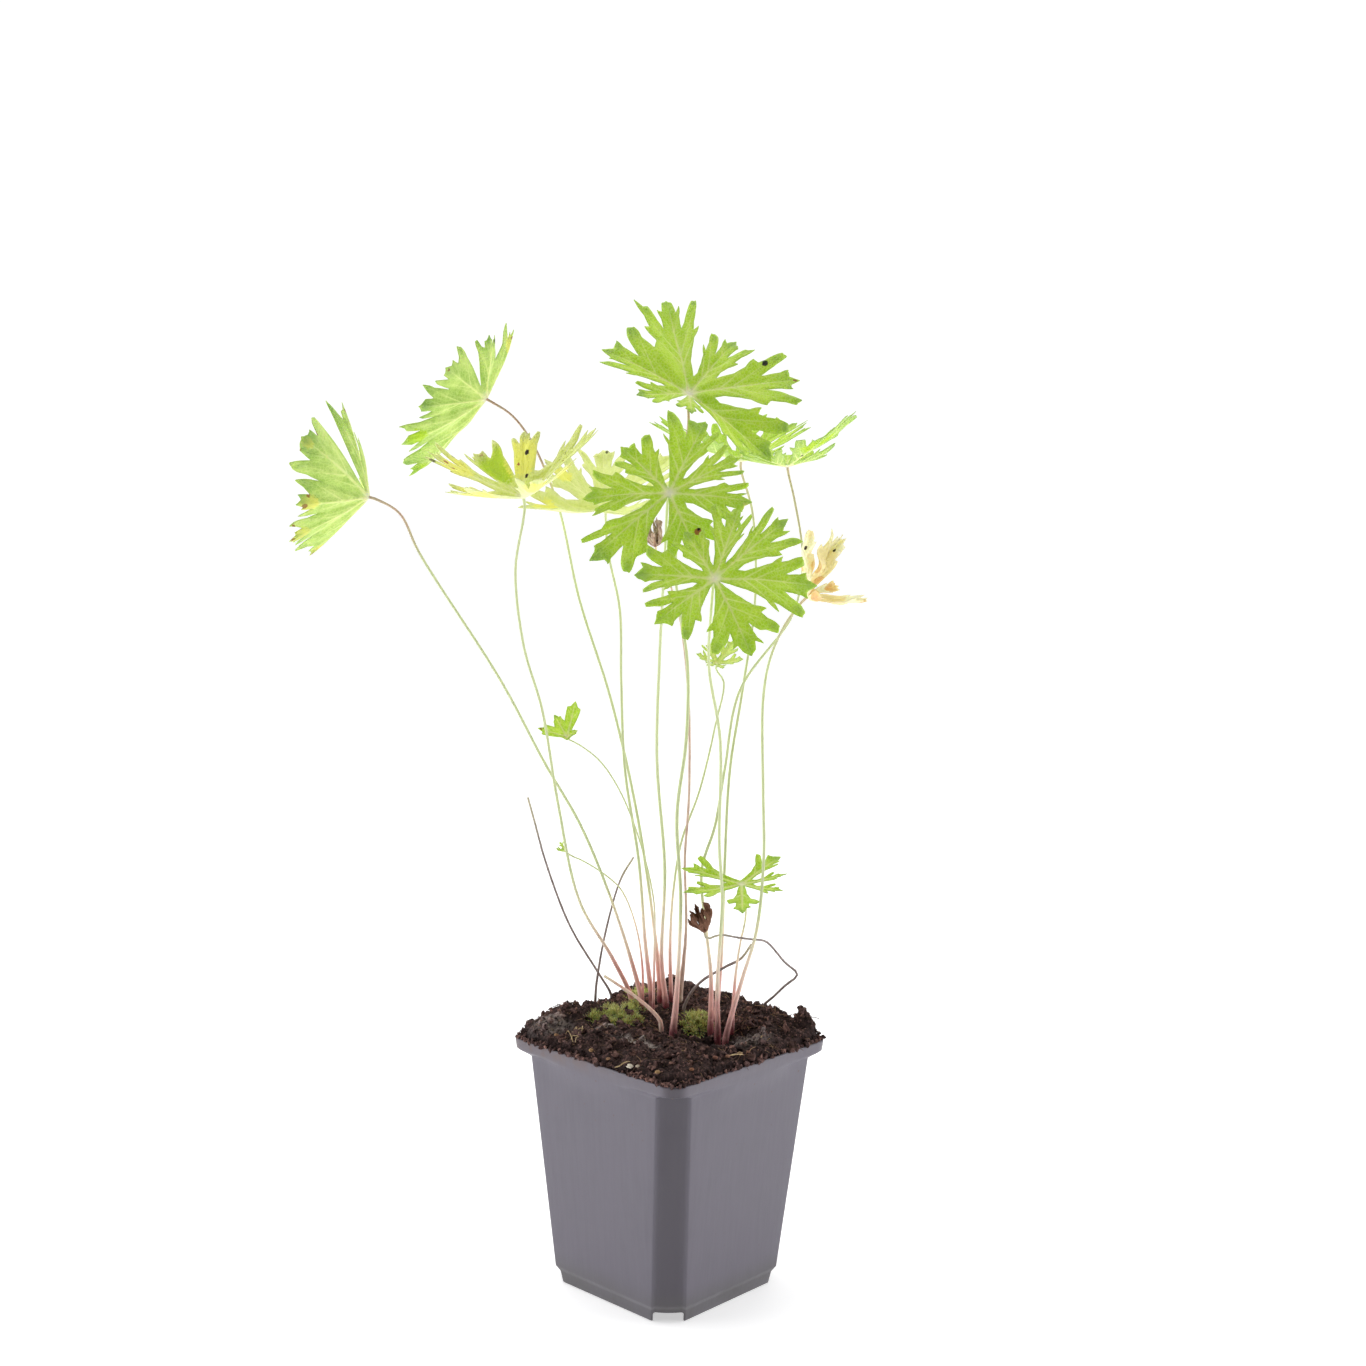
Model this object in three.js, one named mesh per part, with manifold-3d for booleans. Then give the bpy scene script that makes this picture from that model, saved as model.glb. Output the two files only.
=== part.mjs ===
// A young hardy geranium in a square nursery pot.
// Millimetres, +Z up, floor at z = 0, a corner of the pot towards -Y.
import * as THREE from "three";
import { mergeVertices } from "three/addons/utils/BufferGeometryUtils.js";
import Module from "manifold-3d";

const wasm = await Module();
wasm.setup();
const { Manifold, Mesh } = wasm;

// Pot: a tapered square box with a drawn-in foot, a crowned strip across each corner and a rim band.
const POT_HEIGHT = 98;
const POT_SIDE_BASE = 69.5;
const POT_SIDE_TOP = 85.2;
const POT_TAPER_END = 92;
const FOOT_SIDE_LOW = 66.4;
const FOOT_SIDE_HIGH = 68;
const FOOT_HIGH = 4.8;
const FOOT_TOP = 7;
const POT_WALL = 1.3;
const POT_FLOOR = 2;
const CHAMFER_SETBACK = 9;
const CHAMFER_INSET_SHARE = 0.6;
const CHAMFER_STEP = 0.8;
const STEP_RUN = 0.9;
const STRIP_CROWN = 0.7;
const RIM_SIDE = 90;
const RIM_DRAFT = 0.8;
const RIM_FLARE_TOP = 94;
const RIM_CORNER_RADIUS = 8;
const NOTCH_HEIGHT = 3.6;
const NOTCH_WIDTH = 11.6;
const NOTCH_INNER = 33;
const NOTCH_REACH = 30;
const LEDGE_LOW = POT_TAPER_END + 0.8;
const LEDGE_HIGH = RIM_FLARE_TOP + 1.4;

// Soil: heaped peat, higher at the back, with a hole for each stalk.
const GAP = 0.3;
const SOIL_RIM_Z = 98.3;
const SOIL_EDGE_Z = 99.6;
const SOIL_CROWN = 4.4;
const SOIL_BACK_RISE = 3.6;
const SOIL_ROUGHNESS = 0.75;
const SOIL_EDGE_WAVE = 0.5;
const SOIL_RING_WAVE = 0.025;
const SOIL_TOP_SIDE = RIM_SIDE - 2.2;
const SOIL_BODY_CLEAR = 6;
const SOIL_RIM_CLEAR = 2.8;
const SOIL_CORNER_CUT = 3.6;
const SOIL_SIDES = 48;
const SOIL_RINGS = [0.93, 0.83, 0.7, 0.55, 0.39, 0.22];
const HOLE_CLEARANCE = 0.65;
const HOLE_SIDES = 8;
const ROOT_DEPTH = 12;

// Blades: one thickness for every leaf. Lobes are joined up to a share of their length; a wide gap between
// two lobes is the one where the leaf opens down to the stalk.
const BLADE_THICKNESS = 0.75;
const JOINED = 0.24;
const HUB_NOTCH = 1.7;
const OPEN_GAP = 62;
const OPEN_SHOULDER = 0.16;
const LOBE_CLEAR = 1.3;
const WIDEST_SPREAD = 1.12;
const EDGE_VARIATION = 0.05;
const CRUMPLE_PITCH = 0.45;

// Stalks: round rods, sunk into their holes in the soil.
const STALK_SIDES = 5;
const STALK_STEPS = 3;
const STALK_TIP_GAP = 0.45;
const STALK_NECK = 3.2;

// Half the edge of one lobe, waist to tip, as shares of its length along and across the midrib, and the
// points along the midrib itself.
const FULL_EDGE = [
  [0.4, 0.115],
  [0.55, 0.2],
  [0.66, 0.335],
  [0.69, 0.245],
  [0.83, 0.32],
  [0.79, 0.225],
  [0.66, 0.12],
  [0.78, 0.135],
  [0.905, 0.185],
  [0.885, 0.1],
];
const SMALL_EDGE = [
  [0.42, 0.1],
  [0.62, 0.16],
  [0.76, 0.3],
  [0.76, 0.17],
  [0.86, 0.12],
];
const FULL_RIB = [0.22, 0.42, 0.62, 0.82];
const SMALL_RIB = [0.3, 0.65];

// Soil lumps: x, y, height, radius.
const LUMPS = [
  [-41, 8, 4.2, 8],
  [-51, -3, 2.6, 5],
  [53, 2, 5.2, 4.5],
  [25, 30, 2.8, 9],
  [6, 47, 3, 8],
  [-12, 42, 2.4, 9],
  [40, 13, 2.6, 8],
  [-30, -14, 1.2, 8],
  [6, -40, 0.8, 8],
  [32, -16, 1, 8],
  [0, -9, -3.8, 9],
  [19, -10, -3.8, 9],
];

// Leaves. hub: where the lobes meet. face: the way the upper side looks, as turn from -Y and height, degrees.
// cup and bend: how steeply the lobes rise at the hub and how much more at the tips. lobes: the turn of each
// round the hub, its length and, for some, its own extra rise. base: where the stalk leaves the soil.
// path: points the stalk runs through from base to hub. thick: its radius at base, above it and at the hub.
// Some leaves have lobes joined further out (joined), narrower lobes (slim), fewer teeth (small) or a
// crumpled surface (crumple).
const LEAVES = [
  {
    name: "far_left",
    joined: 0.5,
    hub: [-115, -15, 307],
    face: [-105, 15],
    cup: 28,
    bend: 6,
    fold: 0.3,
    lobes: [[-96, 33], [-50, 33], [-16, 30], [34, 36], [98, 36], [134, 29], [184, 24]],
    base: [-11, 14],
    path: [
      [-13, 16, 116], [-23, 16, 147], [-36, 13, 179], [-50, 9, 204], [-67, 3, 237], [-97, -8, 286],
      [-104, -12, 301],
    ],
    thick: [1.1, 0.85, 0.7],
  },
  {
    name: "upper_left",
    joined: 0.42,
    hub: [-76, 45, 344],
    face: [-118, 25],
    cup: 12,
    bend: 8,
    fold: 0.28,
    lobes: [[-80, 44], [-46, 38], [-17, 31], [20, 27], [80, 25], [126, 33], [168, 18, 24]],
    base: [-3.5, 18],
    path: [
      [-6, 20, 133], [-14, 25, 182], [-25, 29, 227], [-38, 34, 266], [-47, 38, 303],
      [-58, 42, 328], [-66, 44, 338],
    ],
    thick: [1.25, 0.9, 0.65],
  },
  {
    name: "yellowing",
    joined: 0.34,
    slim: 0.78,
    hub: [-58, -20, 308],
    face: [-45, 78],
    cup: 24,
    bend: 8,
    fold: 0.3,
    lobes: [[-25, 27, -8], [22, 26], [68, 37], [130, 26, 18], [178, 34, 4], [217, 37], [250, 29, -14]],
    base: [-15, 20],
    path: [
      [-23, 17, 125], [-36, 11, 149], [-45, 3, 191], [-51, -3, 227], [-58, -8, 252],
      [-61, -14, 281], [-58, -19, 300],
    ],
    thick: [1.1, 0.85, 0.7],
  },
  {
    name: "pale_centre",
    joined: 0.32,
    hub: [-28, 30, 302],
    face: [0, 75],
    cup: 22,
    bend: 4,
    fold: 0.3,
    lobes: [[-62, 26, -14], [-14, 30], [38, 37], [93, 34], [145, 33], [190, 34, -24]],
    base: [-7, 14.5],
    path: [
      [-10, 15.5, 132], [-13, 17.5, 164], [-19, 21, 200], [-21, 24, 235], [-22, 27, 263],
      [-27, 29, 286],
    ],
    thick: [1.2, 0.9, 0.7],
  },
  {
    name: "centre",
    hub: [-5, -30, 311],
    face: [5, 24],
    cup: 8,
    bend: -8,
    fold: 0.26,
    lobes: [[-139, 38, -4], [-68, 29], [-6, 30], [27, 29], [63, 31], [135, 24], [186, 31]],
    base: [-1.5, 12.5],
    path: [[-3.5, 11, 125], [-3, 6, 163], [-7, -3, 208], [-7, -14, 248], [-6, -24, 286]],
    thick: [1.25, 0.95, 0.75],
  },
  {
    name: "front",
    hub: [11, -55, 282],
    face: [5, 30],
    cup: 8,
    bend: -8,
    fold: 0.26,
    lobes: [[-141, 28], [-69, 31], [-3, 36], [41, 36], [70, 29], [120, 20], [178, 28]],
    base: [18.2, -8],
    path: [
      [17.5, -12, 124], [18, -23, 158], [16, -30, 182], [15, -39, 222], [10, -46, 250],
      [10, -51, 268],
    ],
    thick: [1.3, 0.95, 0.75],
  },
  {
    name: "top",
    hub: [3, 10, 347],
    face: [10, 50],
    cup: 12,
    bend: -6,
    fold: 0.28,
    lobes: [[-96, 15], [-47, 41, -16], [5, 43], [50, 34], [96, 50], [148, 36], [194, 22]],
    base: [1, -7],
    path: [
      [2, -6.5, 115], [3, -5.5, 154], [1, -4, 187], [4, -3, 216], [4, -1, 245], [-1, 3, 279],
      [1, 7, 315], [3, 8, 337],
    ],
    thick: [1.5, 1.05, 0.75],
  },
  {
    name: "behind",
    hub: [27, 68, 321],
    face: [0, 83],
    cup: 14,
    bend: 6,
    fold: 0.28,
    lobes: [[-52, 21], [-6, 31, 8], [38, 33, 6], [82, 32, 8], [130, 30], [175, 40], [214, 32]],
    base: [18, 1.5],
    path: [[20, 8, 131], [21, 18, 161], [23, 30, 199], [28, 40, 230], [33, 52, 265], [32, 64, 300]],
    thick: [1.2, 0.9, 0.7],
  },
  {
    name: "right",
    hub: [43, 32, 320],
    face: [-40, 72],
    cup: 26,
    bend: 4,
    fold: 0.3,
    lobes: [
      [-84, 22], [-14, 29], [33, 34], [80, 22, -34], [124, 22, -34], [166, 23, -20],
      [210, 20, -10],
    ],
    base: [15.6, -4.6],
    path: [
      [15.5, -1, 123], [13.5, 3, 140], [11.5, 8, 163], [16.5, 11, 180], [20, 14, 202],
      [25.5, 17, 233], [46, 22, 263], [49.5, 26, 284], [46, 30, 307],
    ],
    thick: [1.25, 0.9, 0.65],
  },
  {
    name: "dying_right",
    hub: [47, -20, 273],
    face: [60, 45],
    cup: 36,
    bend: 10,
    fold: 0.32,
    slim: 0.84,
    crumple: 0.5,
    lobes: [[-78, 23], [-30, 13], [38, 28], [84, 24], [128, 16], [170, 15], [215, 13]],
    base: [21.2, -11.2],
    path: [
      [27, -10, 124], [32, -12, 144], [34, -13, 172], [33, -15, 199], [32, -17, 234],
      [34, -18, 249], [39, -19, 262],
    ],
    thick: [1.25, 0.95, 0.7],
  },
  {
    name: "small_pale",
    hub: [17, 35, 241],
    face: [0, 60],
    cup: 12,
    bend: 10,
    fold: 0.3,
    small: true,
    lobes: [[-66, 6], [-8, 11], [52, 13], [108, 11], [164, 9], [222, 6]],
    base: [0.8, 17.5],
    path: [[0, 18, 130], [1, 20, 152], [4, 24, 171], [11, 28, 191], [17, 32, 217], [20, 35, 234]],
    thick: [0.95, 0.75, 0.55],
  },
  {
    name: "folded_young",
    hub: [-42, 20, 213],
    face: [0, 20],
    cup: 14,
    bend: 10,
    fold: 0.45,
    small: true,
    lobes: [[20, 6], [80, 13.5], [132, 9], [178, 12]],
    base: [-6.5, 8.5],
    path: [
      [-6.5, 8.5, 130], [-7, 9, 150], [-13, 11, 174], [-21, 14, 193], [-29, 18, 204],
      [-37, 22, 209.5],
    ],
    thick: [0.6, 0.5, 0.45],
  },
  {
    name: "bud",
    hub: [-42, 21, 167],
    face: [-60, 40],
    cup: 40,
    bend: 15,
    fold: 0.3,
    small: true,
    lobes: [[0, 4], [70, 5], [140, 4.5], [215, 4]],
    base: [-10.5, 20.5],
    path: [[-11, 21, 122], [-14, 21, 138], [-20, 20.5, 152], [-28, 20.5, 159], [-36, 21.5, 163.5]],
    thick: [0.6, 0.5, 0.45],
  },
  {
    name: "fresh",
    hub: [26.5, -3, 160],
    face: [0, 68],
    cup: 6,
    bend: 0,
    fold: 0.32,
    small: true,
    lobes: [[-94, 21], [-24, 17], [22, 17], [58, 22], [164, 24], [205, 25]],
    base: [24, -4],
    path: [[25, -3, 124], [26.5, -2, 136], [28.5, -1, 147], [28, 0, 154]],
    thick: [0.9, 0.7, 0.55],
  },
  {
    name: "curled_dead",
    hub: [12, -14, 144],
    face: [-45, 66],
    cup: 44,
    bend: 30,
    fold: 0.2,
    slim: 0.85,
    small: true,
    lobes: [[0, 13], [72, 14], [144, 13], [216, 12], [288, 12]],
    base: [38, 14],
    path: [
      [41, 14, 110], [46, 13, 115.5], [50.5, 12, 120], [45, 9, 126], [37, 2, 136], [31, -4, 138.5],
      [25, -7, 140], [18, -11, 142],
    ],
    thick: [0.5, 0.42, 0.42],
  },
  {
    name: "dry_brown",
    hub: [-9, -1, 290],
    face: [-20, 60],
    cup: 42,
    bend: 30,
    fold: 0.2,
    slim: 0.85,
    small: true,
    lobes: [[0, 10], [72, 9], [144, 10], [216, 9], [288, 9]],
    base: [4.2, 15],
    path: [[6, 13, 138], [5, 12, 167], [6, 10.5, 191], [5, 9.5, 231], [1, 9.5, 262], [-5, 5, 280]],
    thick: [1.1, 0.8, 0.6],
  },
];

// Stalks that carry no leaf: base in the soil, points up to the broken end, radii.
const BARE_STALKS = [
  {
    name: "dead_left",
    base: [-23, 32],
    path: [[-28, 31, 114], [-40, 27, 135], [-50, 21, 163], [-54, 19, 178], [-57, 18, 189]],
    thick: [0.5, 0.45, 0.4],
  },
  {
    name: "dead_back",
    base: [-29.5, 24],
    path: [[-29, 24.5, 113], [-26, 25, 132], [-20, 25, 155], [-15, 25, 164]],
    thick: [0.5, 0.4, 0.4],
  },
  {
    name: "stub",
    base: [-3.6, -4.6],
    path: [[-4.2, -4, 106], [-12, 1, 112.5], [-20, 5, 117], [-26, 8, 120]],
    thick: [0.9, 0.7, 0.55],
  },
  {
    name: "old_stick",
    base: [5.6, 9],
    path: [[11, 5, 118], [21, 1, 126], [27, -1, 130], [31, -2, 136]],
    thick: [0.6, 0.5, 0.45],
  },
];

const rad = THREE.MathUtils.degToRad;

// A repeatable wobble between -1 and 1.
function wobble(a, b) {
  const s = Math.sin(a * 12.9898 + b * 78.233) * 43758.5453;
  return 2 * (s - Math.floor(s)) - 1;
}

function geometryOf(points, faces) {
  const g = new THREE.BufferGeometry();
  g.setAttribute("position", new THREE.Float32BufferAttribute(points.flat(), 3));
  g.setIndex(faces.flat());
  return g;
}

function manifoldOf(points, faces) {
  const mesh = new Mesh({
    numProp: 3,
    vertProperties: new Float32Array(points.flat()),
    triVerts: new Uint32Array(faces.flat()),
  });
  return new Manifold(mesh);
}

// A closed three.js shape as a solid that can be cut from another.
function solidOf(geometry) {
  const bare = new THREE.BufferGeometry();
  bare.setAttribute("position", geometry.getAttribute("position"));
  bare.setIndex(geometry.getIndex());
  const merged = mergeVertices(bare, 1e-4);
  return new Manifold(
    new Mesh({
      numProp: 3,
      vertProperties: merged.getAttribute("position").array,
      triVerts: new Uint32Array(merged.getIndex().array),
    }),
  );
}

function geometryFrom(solid) {
  const m = solid.getMesh();
  const g = new THREE.BufferGeometry();
  g.setAttribute("position", new THREE.BufferAttribute(new Float32Array(m.vertProperties), 3));
  g.setIndex(new THREE.BufferAttribute(new Uint32Array(m.triVerts), 1));
  return g;
}

// Skin a stack of rings of equal count, lowest first, with a fan over each end.
function skin(rings) {
  const n = rings[0].length;
  const points = rings.flat();
  const faces = [];
  for (let k = 0; k + 1 < rings.length; k++) {
    for (let i = 0; i < n; i++) {
      const a = k * n + i;
      const b = k * n + ((i + 1) % n);
      faces.push([a, b, b + n], [a, b + n, a + n]);
    }
  }
  const middle = (ring) => [0, 1, 2].map((c) => ring.reduce((s, p) => s + p[c], 0) / n);
  const low = points.length;
  points.push(middle(rings[0]), middle(rings[rings.length - 1]));
  const last = (rings.length - 1) * n;
  for (let i = 0; i < n; i++) {
    const j = (i + 1) % n;
    faces.push([low, j, i], [low + 1, last + i, last + j]);
  }
  return { points, faces };
}

// A level ring round the pot from the points of one corner, listed against the clock.
function aroundPot(corner, z) {
  const ring = [];
  for (let q = 0; q < 4; q++) {
    const turn = rad(-135 + q * 90);
    const c = Math.cos(turn);
    const s = Math.sin(turn);
    for (const [x, y] of corner) ring.push([c * x - s * y, s * x + c * y, z]);
  }
  return ring;
}

// One level of the pot's body: a square with a sunk, crowned strip across each corner.
function bodyRing(side, z, inset) {
  const half = side / 2 - inset;
  const cut = CHAMFER_SETBACK - inset * CHAMFER_INSET_SHARE;
  const profile = [
    [0, -cut, 0],
    [0, -cut + STEP_RUN, CHAMFER_STEP],
    [-cut / 2, -cut / 2, CHAMFER_STEP - STRIP_CROWN],
    [-cut + STEP_RUN, 0, CHAMFER_STEP],
    [-cut, 0, 0],
  ];
  const corner = profile.map(([dx, dy, sink]) => [
    half + dx - sink * Math.SQRT1_2,
    half + dy - sink * Math.SQRT1_2,
  ]);
  return aroundPot(corner, z);
}

// One level of the rim: a square with rounded corners, the same count of points as the body.
function rimRing(side, z, inset) {
  const r = RIM_CORNER_RADIUS - inset / 2;
  const centre = side / 2 - inset - r;
  const turns = [0, 22.5, 45, 67.5, 90].map(rad);
  const corner = turns.map((a) => [centre + r * Math.cos(a), centre + r * Math.sin(a)]);
  return aroundPot(corner, z);
}

// Side of the pot's body at a height: the drawn-in foot, then an even taper.
function sideAt(z) {
  const { lerp } = THREE.MathUtils;
  const tapered = (h) => lerp(POT_SIDE_BASE, POT_SIDE_TOP, h / POT_TAPER_END);
  if (z < FOOT_HIGH) return lerp(FOOT_SIDE_LOW, FOOT_SIDE_HIGH, z / FOOT_HIGH);
  if (z < FOOT_TOP) return lerp(FOOT_SIDE_HIGH, tapered(FOOT_TOP), (z - FOOT_HIGH) / (FOOT_TOP - FOOT_HIGH));
  return tapered(z);
}

function potSolid() {
  const outer = skin([
    bodyRing(sideAt(0), 0, 0),
    bodyRing(sideAt(FOOT_HIGH), FOOT_HIGH, 0),
    bodyRing(sideAt(FOOT_TOP), FOOT_TOP, 0),
    bodyRing(sideAt(POT_TAPER_END), POT_TAPER_END, 0),
    rimRing(RIM_SIDE - RIM_DRAFT, RIM_FLARE_TOP, 0),
    rimRing(RIM_SIDE, POT_HEIGHT, 0),
  ]);
  const inner = skin([
    bodyRing(sideAt(POT_FLOOR), POT_FLOOR, POT_WALL),
    bodyRing(sideAt(FOOT_HIGH), FOOT_HIGH, POT_WALL),
    bodyRing(sideAt(FOOT_TOP), FOOT_TOP, POT_WALL),
    bodyRing(sideAt(POT_TAPER_END), LEDGE_LOW, POT_WALL),
    rimRing(RIM_SIDE - RIM_DRAFT, LEDGE_HIGH, POT_WALL),
    rimRing(RIM_SIDE, POT_HEIGHT + 1, POT_WALL),
  ]);
  let pot = manifoldOf(outer.points, outer.faces).subtract(manifoldOf(inner.points, inner.faces));
  for (let q = 0; q < 4; q++) {
    const notch = new THREE.BoxGeometry(NOTCH_REACH, NOTCH_WIDTH, 2 * NOTCH_HEIGHT);
    notch.translate(NOTCH_INNER + NOTCH_REACH / 2, 0, 0).rotateZ(q * (Math.PI / 2));
    pot = pot.subtract(solidOf(notch));
  }
  return pot;
}

// Height of the soil's top over the floor.
function soilTop(x, y) {
  const spread = (Math.abs(x) + Math.abs(y)) / (RIM_SIDE / Math.SQRT2);
  const inside = Math.sqrt(Math.max(0, 1 - spread * spread));
  let z = SOIL_EDGE_Z + SOIL_CROWN * inside;
  z += SOIL_BACK_RISE * inside * THREE.MathUtils.smoothstep(y, -14, 26);
  for (const [lx, ly, h, r] of LUMPS) z += h * Math.exp(-((x - lx) ** 2 + (y - ly) ** 2) / (r * r));
  return z;
}

// One level of the soil: a square with blunt corners, cut at a reach a little short of the pot's.
function soilRing(side, z, inset) {
  const half = side / 2 - inset;
  const reach = half * Math.SQRT2 - SOIL_CORNER_CUT;
  const ring = [];
  for (let i = 0; i < SOIL_SIDES; i++) {
    const a = (i / SOIL_SIDES) * 2 * Math.PI;
    const flat = (half * Math.SQRT2) / (Math.abs(Math.cos(a)) + Math.abs(Math.sin(a)));
    const r = Math.min(flat, reach);
    ring.push([r * Math.cos(a), r * Math.sin(a), z]);
  }
  return ring;
}

function soilSolid(stalks) {
  const low = POT_FLOOR + GAP;
  const edge = soilRing(SOIL_TOP_SIDE, SOIL_EDGE_Z, 0);
  const rings = [
    soilRing(sideAt(low) - SOIL_BODY_CLEAR, low, POT_WALL),
    soilRing(sideAt(LEDGE_LOW) - SOIL_BODY_CLEAR, LEDGE_LOW, POT_WALL),
    soilRing(RIM_SIDE - SOIL_RIM_CLEAR, LEDGE_HIGH + 1, POT_WALL),
    soilRing(RIM_SIDE - SOIL_RIM_CLEAR, SOIL_RIM_Z, POT_WALL),
    soilRing(SOIL_TOP_SIDE + 0.6, SOIL_RIM_Z, 0),
    edge.map(([x, y, z], i) => [x, y, z + SOIL_EDGE_WAVE * wobble(i, 3)]),
  ];
  SOIL_RINGS.forEach((share, k) => {
    const ring = edge.map(([x, y], i) => {
      const s = share + SOIL_RING_WAVE * wobble(i + 5, k);
      return [x * s, y * s, soilTop(x * s, y * s) + SOIL_ROUGHNESS * wobble(i, k + 11)];
    });
    rings.push(ring);
  });
  const { points, faces } = skin(rings);
  points[points.length - 1][2] = soilTop(0, 0);
  let soil = manifoldOf(points, faces);
  for (const { base, thick } of stalks) {
    const radius = thick[0] + HOLE_CLEARANCE;
    const hole = new THREE.CylinderGeometry(radius, radius, 2 * (ROOT_DEPTH + GAP), HOLE_SIDES);
    hole.rotateX(Math.PI / 2).translate(...base, soilTop(...base));
    soil = soil.subtract(solidOf(hole));
  }
  return soil;
}

// The leaf's own axes: n out of the upper side, u level, v the third.
function leafAxes([turn, height]) {
  const a = rad(turn);
  const h = rad(height);
  const n = new THREE.Vector3(Math.cos(h) * Math.sin(a), -Math.cos(h) * Math.cos(a), Math.sin(h));
  const u = new THREE.Vector3(Math.cos(a), Math.sin(a), 0);
  const v = new THREE.Vector3().crossVectors(n, u);
  return { n, u, v };
}

// Lobes in order round the hub, each with the turn to its neighbours.
function lobesOf(leaf) {
  const list = leaf.lobes.map(([turn, length, rise = 0]) => ({ turn, length, rise }));
  const count = list.length;
  list.forEach((lobe, i) => {
    const next = list[(i + 1) % count];
    const ahead = next.turn - lobe.turn + (i + 1 === count ? 360 : 0);
    lobe.after = ahead;
    next.before = ahead;
  });
  return list;
}

// A point of the blade from its distance to the hub and its turn away from lobe i.
function bladePoint(leaf, lobes, axes, reach, i, off, r) {
  const lobe = lobes[i];
  const other = off >= 0 ? lobes[(i + 1) % lobes.length] : lobes[(i + lobes.length - 1) % lobes.length];
  const span = off >= 0 ? lobe.after : lobe.before;
  const mix = 0.5 - 0.5 * Math.cos((Math.PI * Math.abs(off)) / span);
  const rise = lobe.rise + (other.rise - lobe.rise) * mix;
  const lift = rad(leaf.cup + rise + (leaf.bend * r) / reach);
  const turn = rad(lobe.turn + off);
  const pleat = leaf.fold * r * Math.abs(Math.sin(rad(off)));
  const p = new THREE.Vector3(...leaf.hub);
  p.addScaledVector(axes.u, r * Math.cos(lift) * Math.cos(turn));
  p.addScaledVector(axes.v, r * Math.cos(lift) * Math.sin(turn));
  p.addScaledVector(axes.n, r * Math.sin(lift) + pleat);
  if (leaf.crumple) {
    const w = leaf.crumple * Math.min(1, r / 6);
    p.x += w * Math.sin(p.z * CRUMPLE_PITCH);
    p.y += w * Math.sin(p.x * CRUMPLE_PITCH + 2);
    p.z += w * Math.sin(p.y * CRUMPLE_PITCH + 4);
  }
  return p;
}

// The blade's middle surface: half a lobe at a time, joined along midribs and the lines down to the cuts.
function bladeSheet(leaf) {
  const lobes = lobesOf(leaf);
  const axes = leafAxes(leaf.face);
  const reach = Math.max(...lobes.map((l) => l.length));
  const joined = leaf.joined ?? JOINED;
  const edge = (leaf.small ? SMALL_EDGE : FULL_EDGE).filter(([s]) => s > joined + 0.1);
  const rib = leaf.small ? SMALL_RIB : FULL_RIB;
  const points = [new THREE.Vector3(...leaf.hub)];
  const faces = [];
  const widest = Math.max(...edge.map(([s, w]) => THREE.MathUtils.radToDeg(Math.atan2(w, s))));
  const add = (i, off, r) => points.push(bladePoint(leaf, lobes, axes, reach, i, off, r)) - 1;
  const ribs = lobes.map((lobe, i) => [...rib, 1].map((s) => add(i, 0, s * lobe.length)));
  const cuts = lobes.map((lobe, i) => {
    const next = lobes[(i + 1) % lobes.length];
    const open = lobe.after > OPEN_GAP;
    const r = open ? HUB_NOTCH : Math.max(HUB_NOTCH, joined * Math.min(lobe.length, next.length));
    return { id: add(i, lobe.after / 2, r), r, open };
  });
  lobes.forEach((lobe, i) => {
    for (const way of [1, -1]) {
      const span = way > 0 ? lobe.after : lobe.before;
      const cut = way > 0 ? cuts[i] : cuts[(i + lobes.length - 1) % lobes.length];
      const squeeze = (leaf.slim ?? 1) * Math.min(WIDEST_SPREAD, (span / 2 - LOBE_CLEAR) / widest);
      const flat = [[0, 0]];
      const ids = [0];
      [...rib, 1].forEach((s, k) => {
        flat.push([s * lobe.length, 0]);
        ids.push(ribs[i][k]);
      });
      for (let k = edge.length - 1; k >= 0; k--) {
        const [s, w] = edge[k];
        const jig = 1 + EDGE_VARIATION * wobble(i * 7 + k, way + lobe.turn);
        const off = THREE.MathUtils.radToDeg(Math.atan2(w, s)) * squeeze;
        const r = Math.hypot(s, w) * lobe.length * jig;
        flat.push([r * Math.cos(rad(off)), r * Math.sin(rad(off))]);
        ids.push(add(i, way * off, r));
      }
      if (cut.open) {
        const off = Math.min(span / 2 - 8, 24);
        const r = Math.max(HUB_NOTCH * 1.2, OPEN_SHOULDER * lobe.length);
        flat.push([r * Math.cos(rad(off)), r * Math.sin(rad(off))]);
        ids.push(add(i, way * off, r));
      }
      flat.push([cut.r * Math.cos(rad(span / 2)), cut.r * Math.sin(rad(span / 2))]);
      ids.push(cut.id);
      const outline = flat.map(([x, y]) => new THREE.Vector2(x, y));
      for (const [a, b, c] of THREE.ShapeUtils.triangulateShape(outline, [])) {
        faces.push(way > 0 ? [ids[a], ids[b], ids[c]] : [ids[a], ids[c], ids[b]]);
      }
    }
  });
  return { points, faces };
}

// Give a sheet its thickness: the same triangles on both faces and a wall round every free edge.
function thicken({ points, faces }, thickness) {
  const normals = points.map(() => new THREE.Vector3());
  const ab = new THREE.Vector3();
  const ac = new THREE.Vector3();
  for (const [a, b, c] of faces) {
    ab.subVectors(points[b], points[a]);
    ac.subVectors(points[c], points[a]);
    ab.cross(ac);
    for (const k of [a, b, c]) normals[k].add(ab);
  }
  const count = points.length;
  const out = [];
  normals.forEach((n) => n.setLength(thickness / 2));
  for (const way of [1, -1]) {
    points.forEach((p, k) => out.push(p.clone().addScaledVector(normals[k], way).toArray()));
  }
  const all = [];
  const once = new Map();
  for (const [a, b, c] of faces) {
    all.push([a, b, c], [a + count, c + count, b + count]);
    for (const [p, q] of [[a, b], [b, c], [c, a]]) {
      if (once.has(`${q},${p}`)) once.delete(`${q},${p}`);
      else once.set(`${p},${q}`, [p, q]);
    }
  }
  for (const [p, q] of once.values()) all.push([p, p + count, q + count], [p, q + count, q]);
  return geometryOf(out, all);
}

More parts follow.
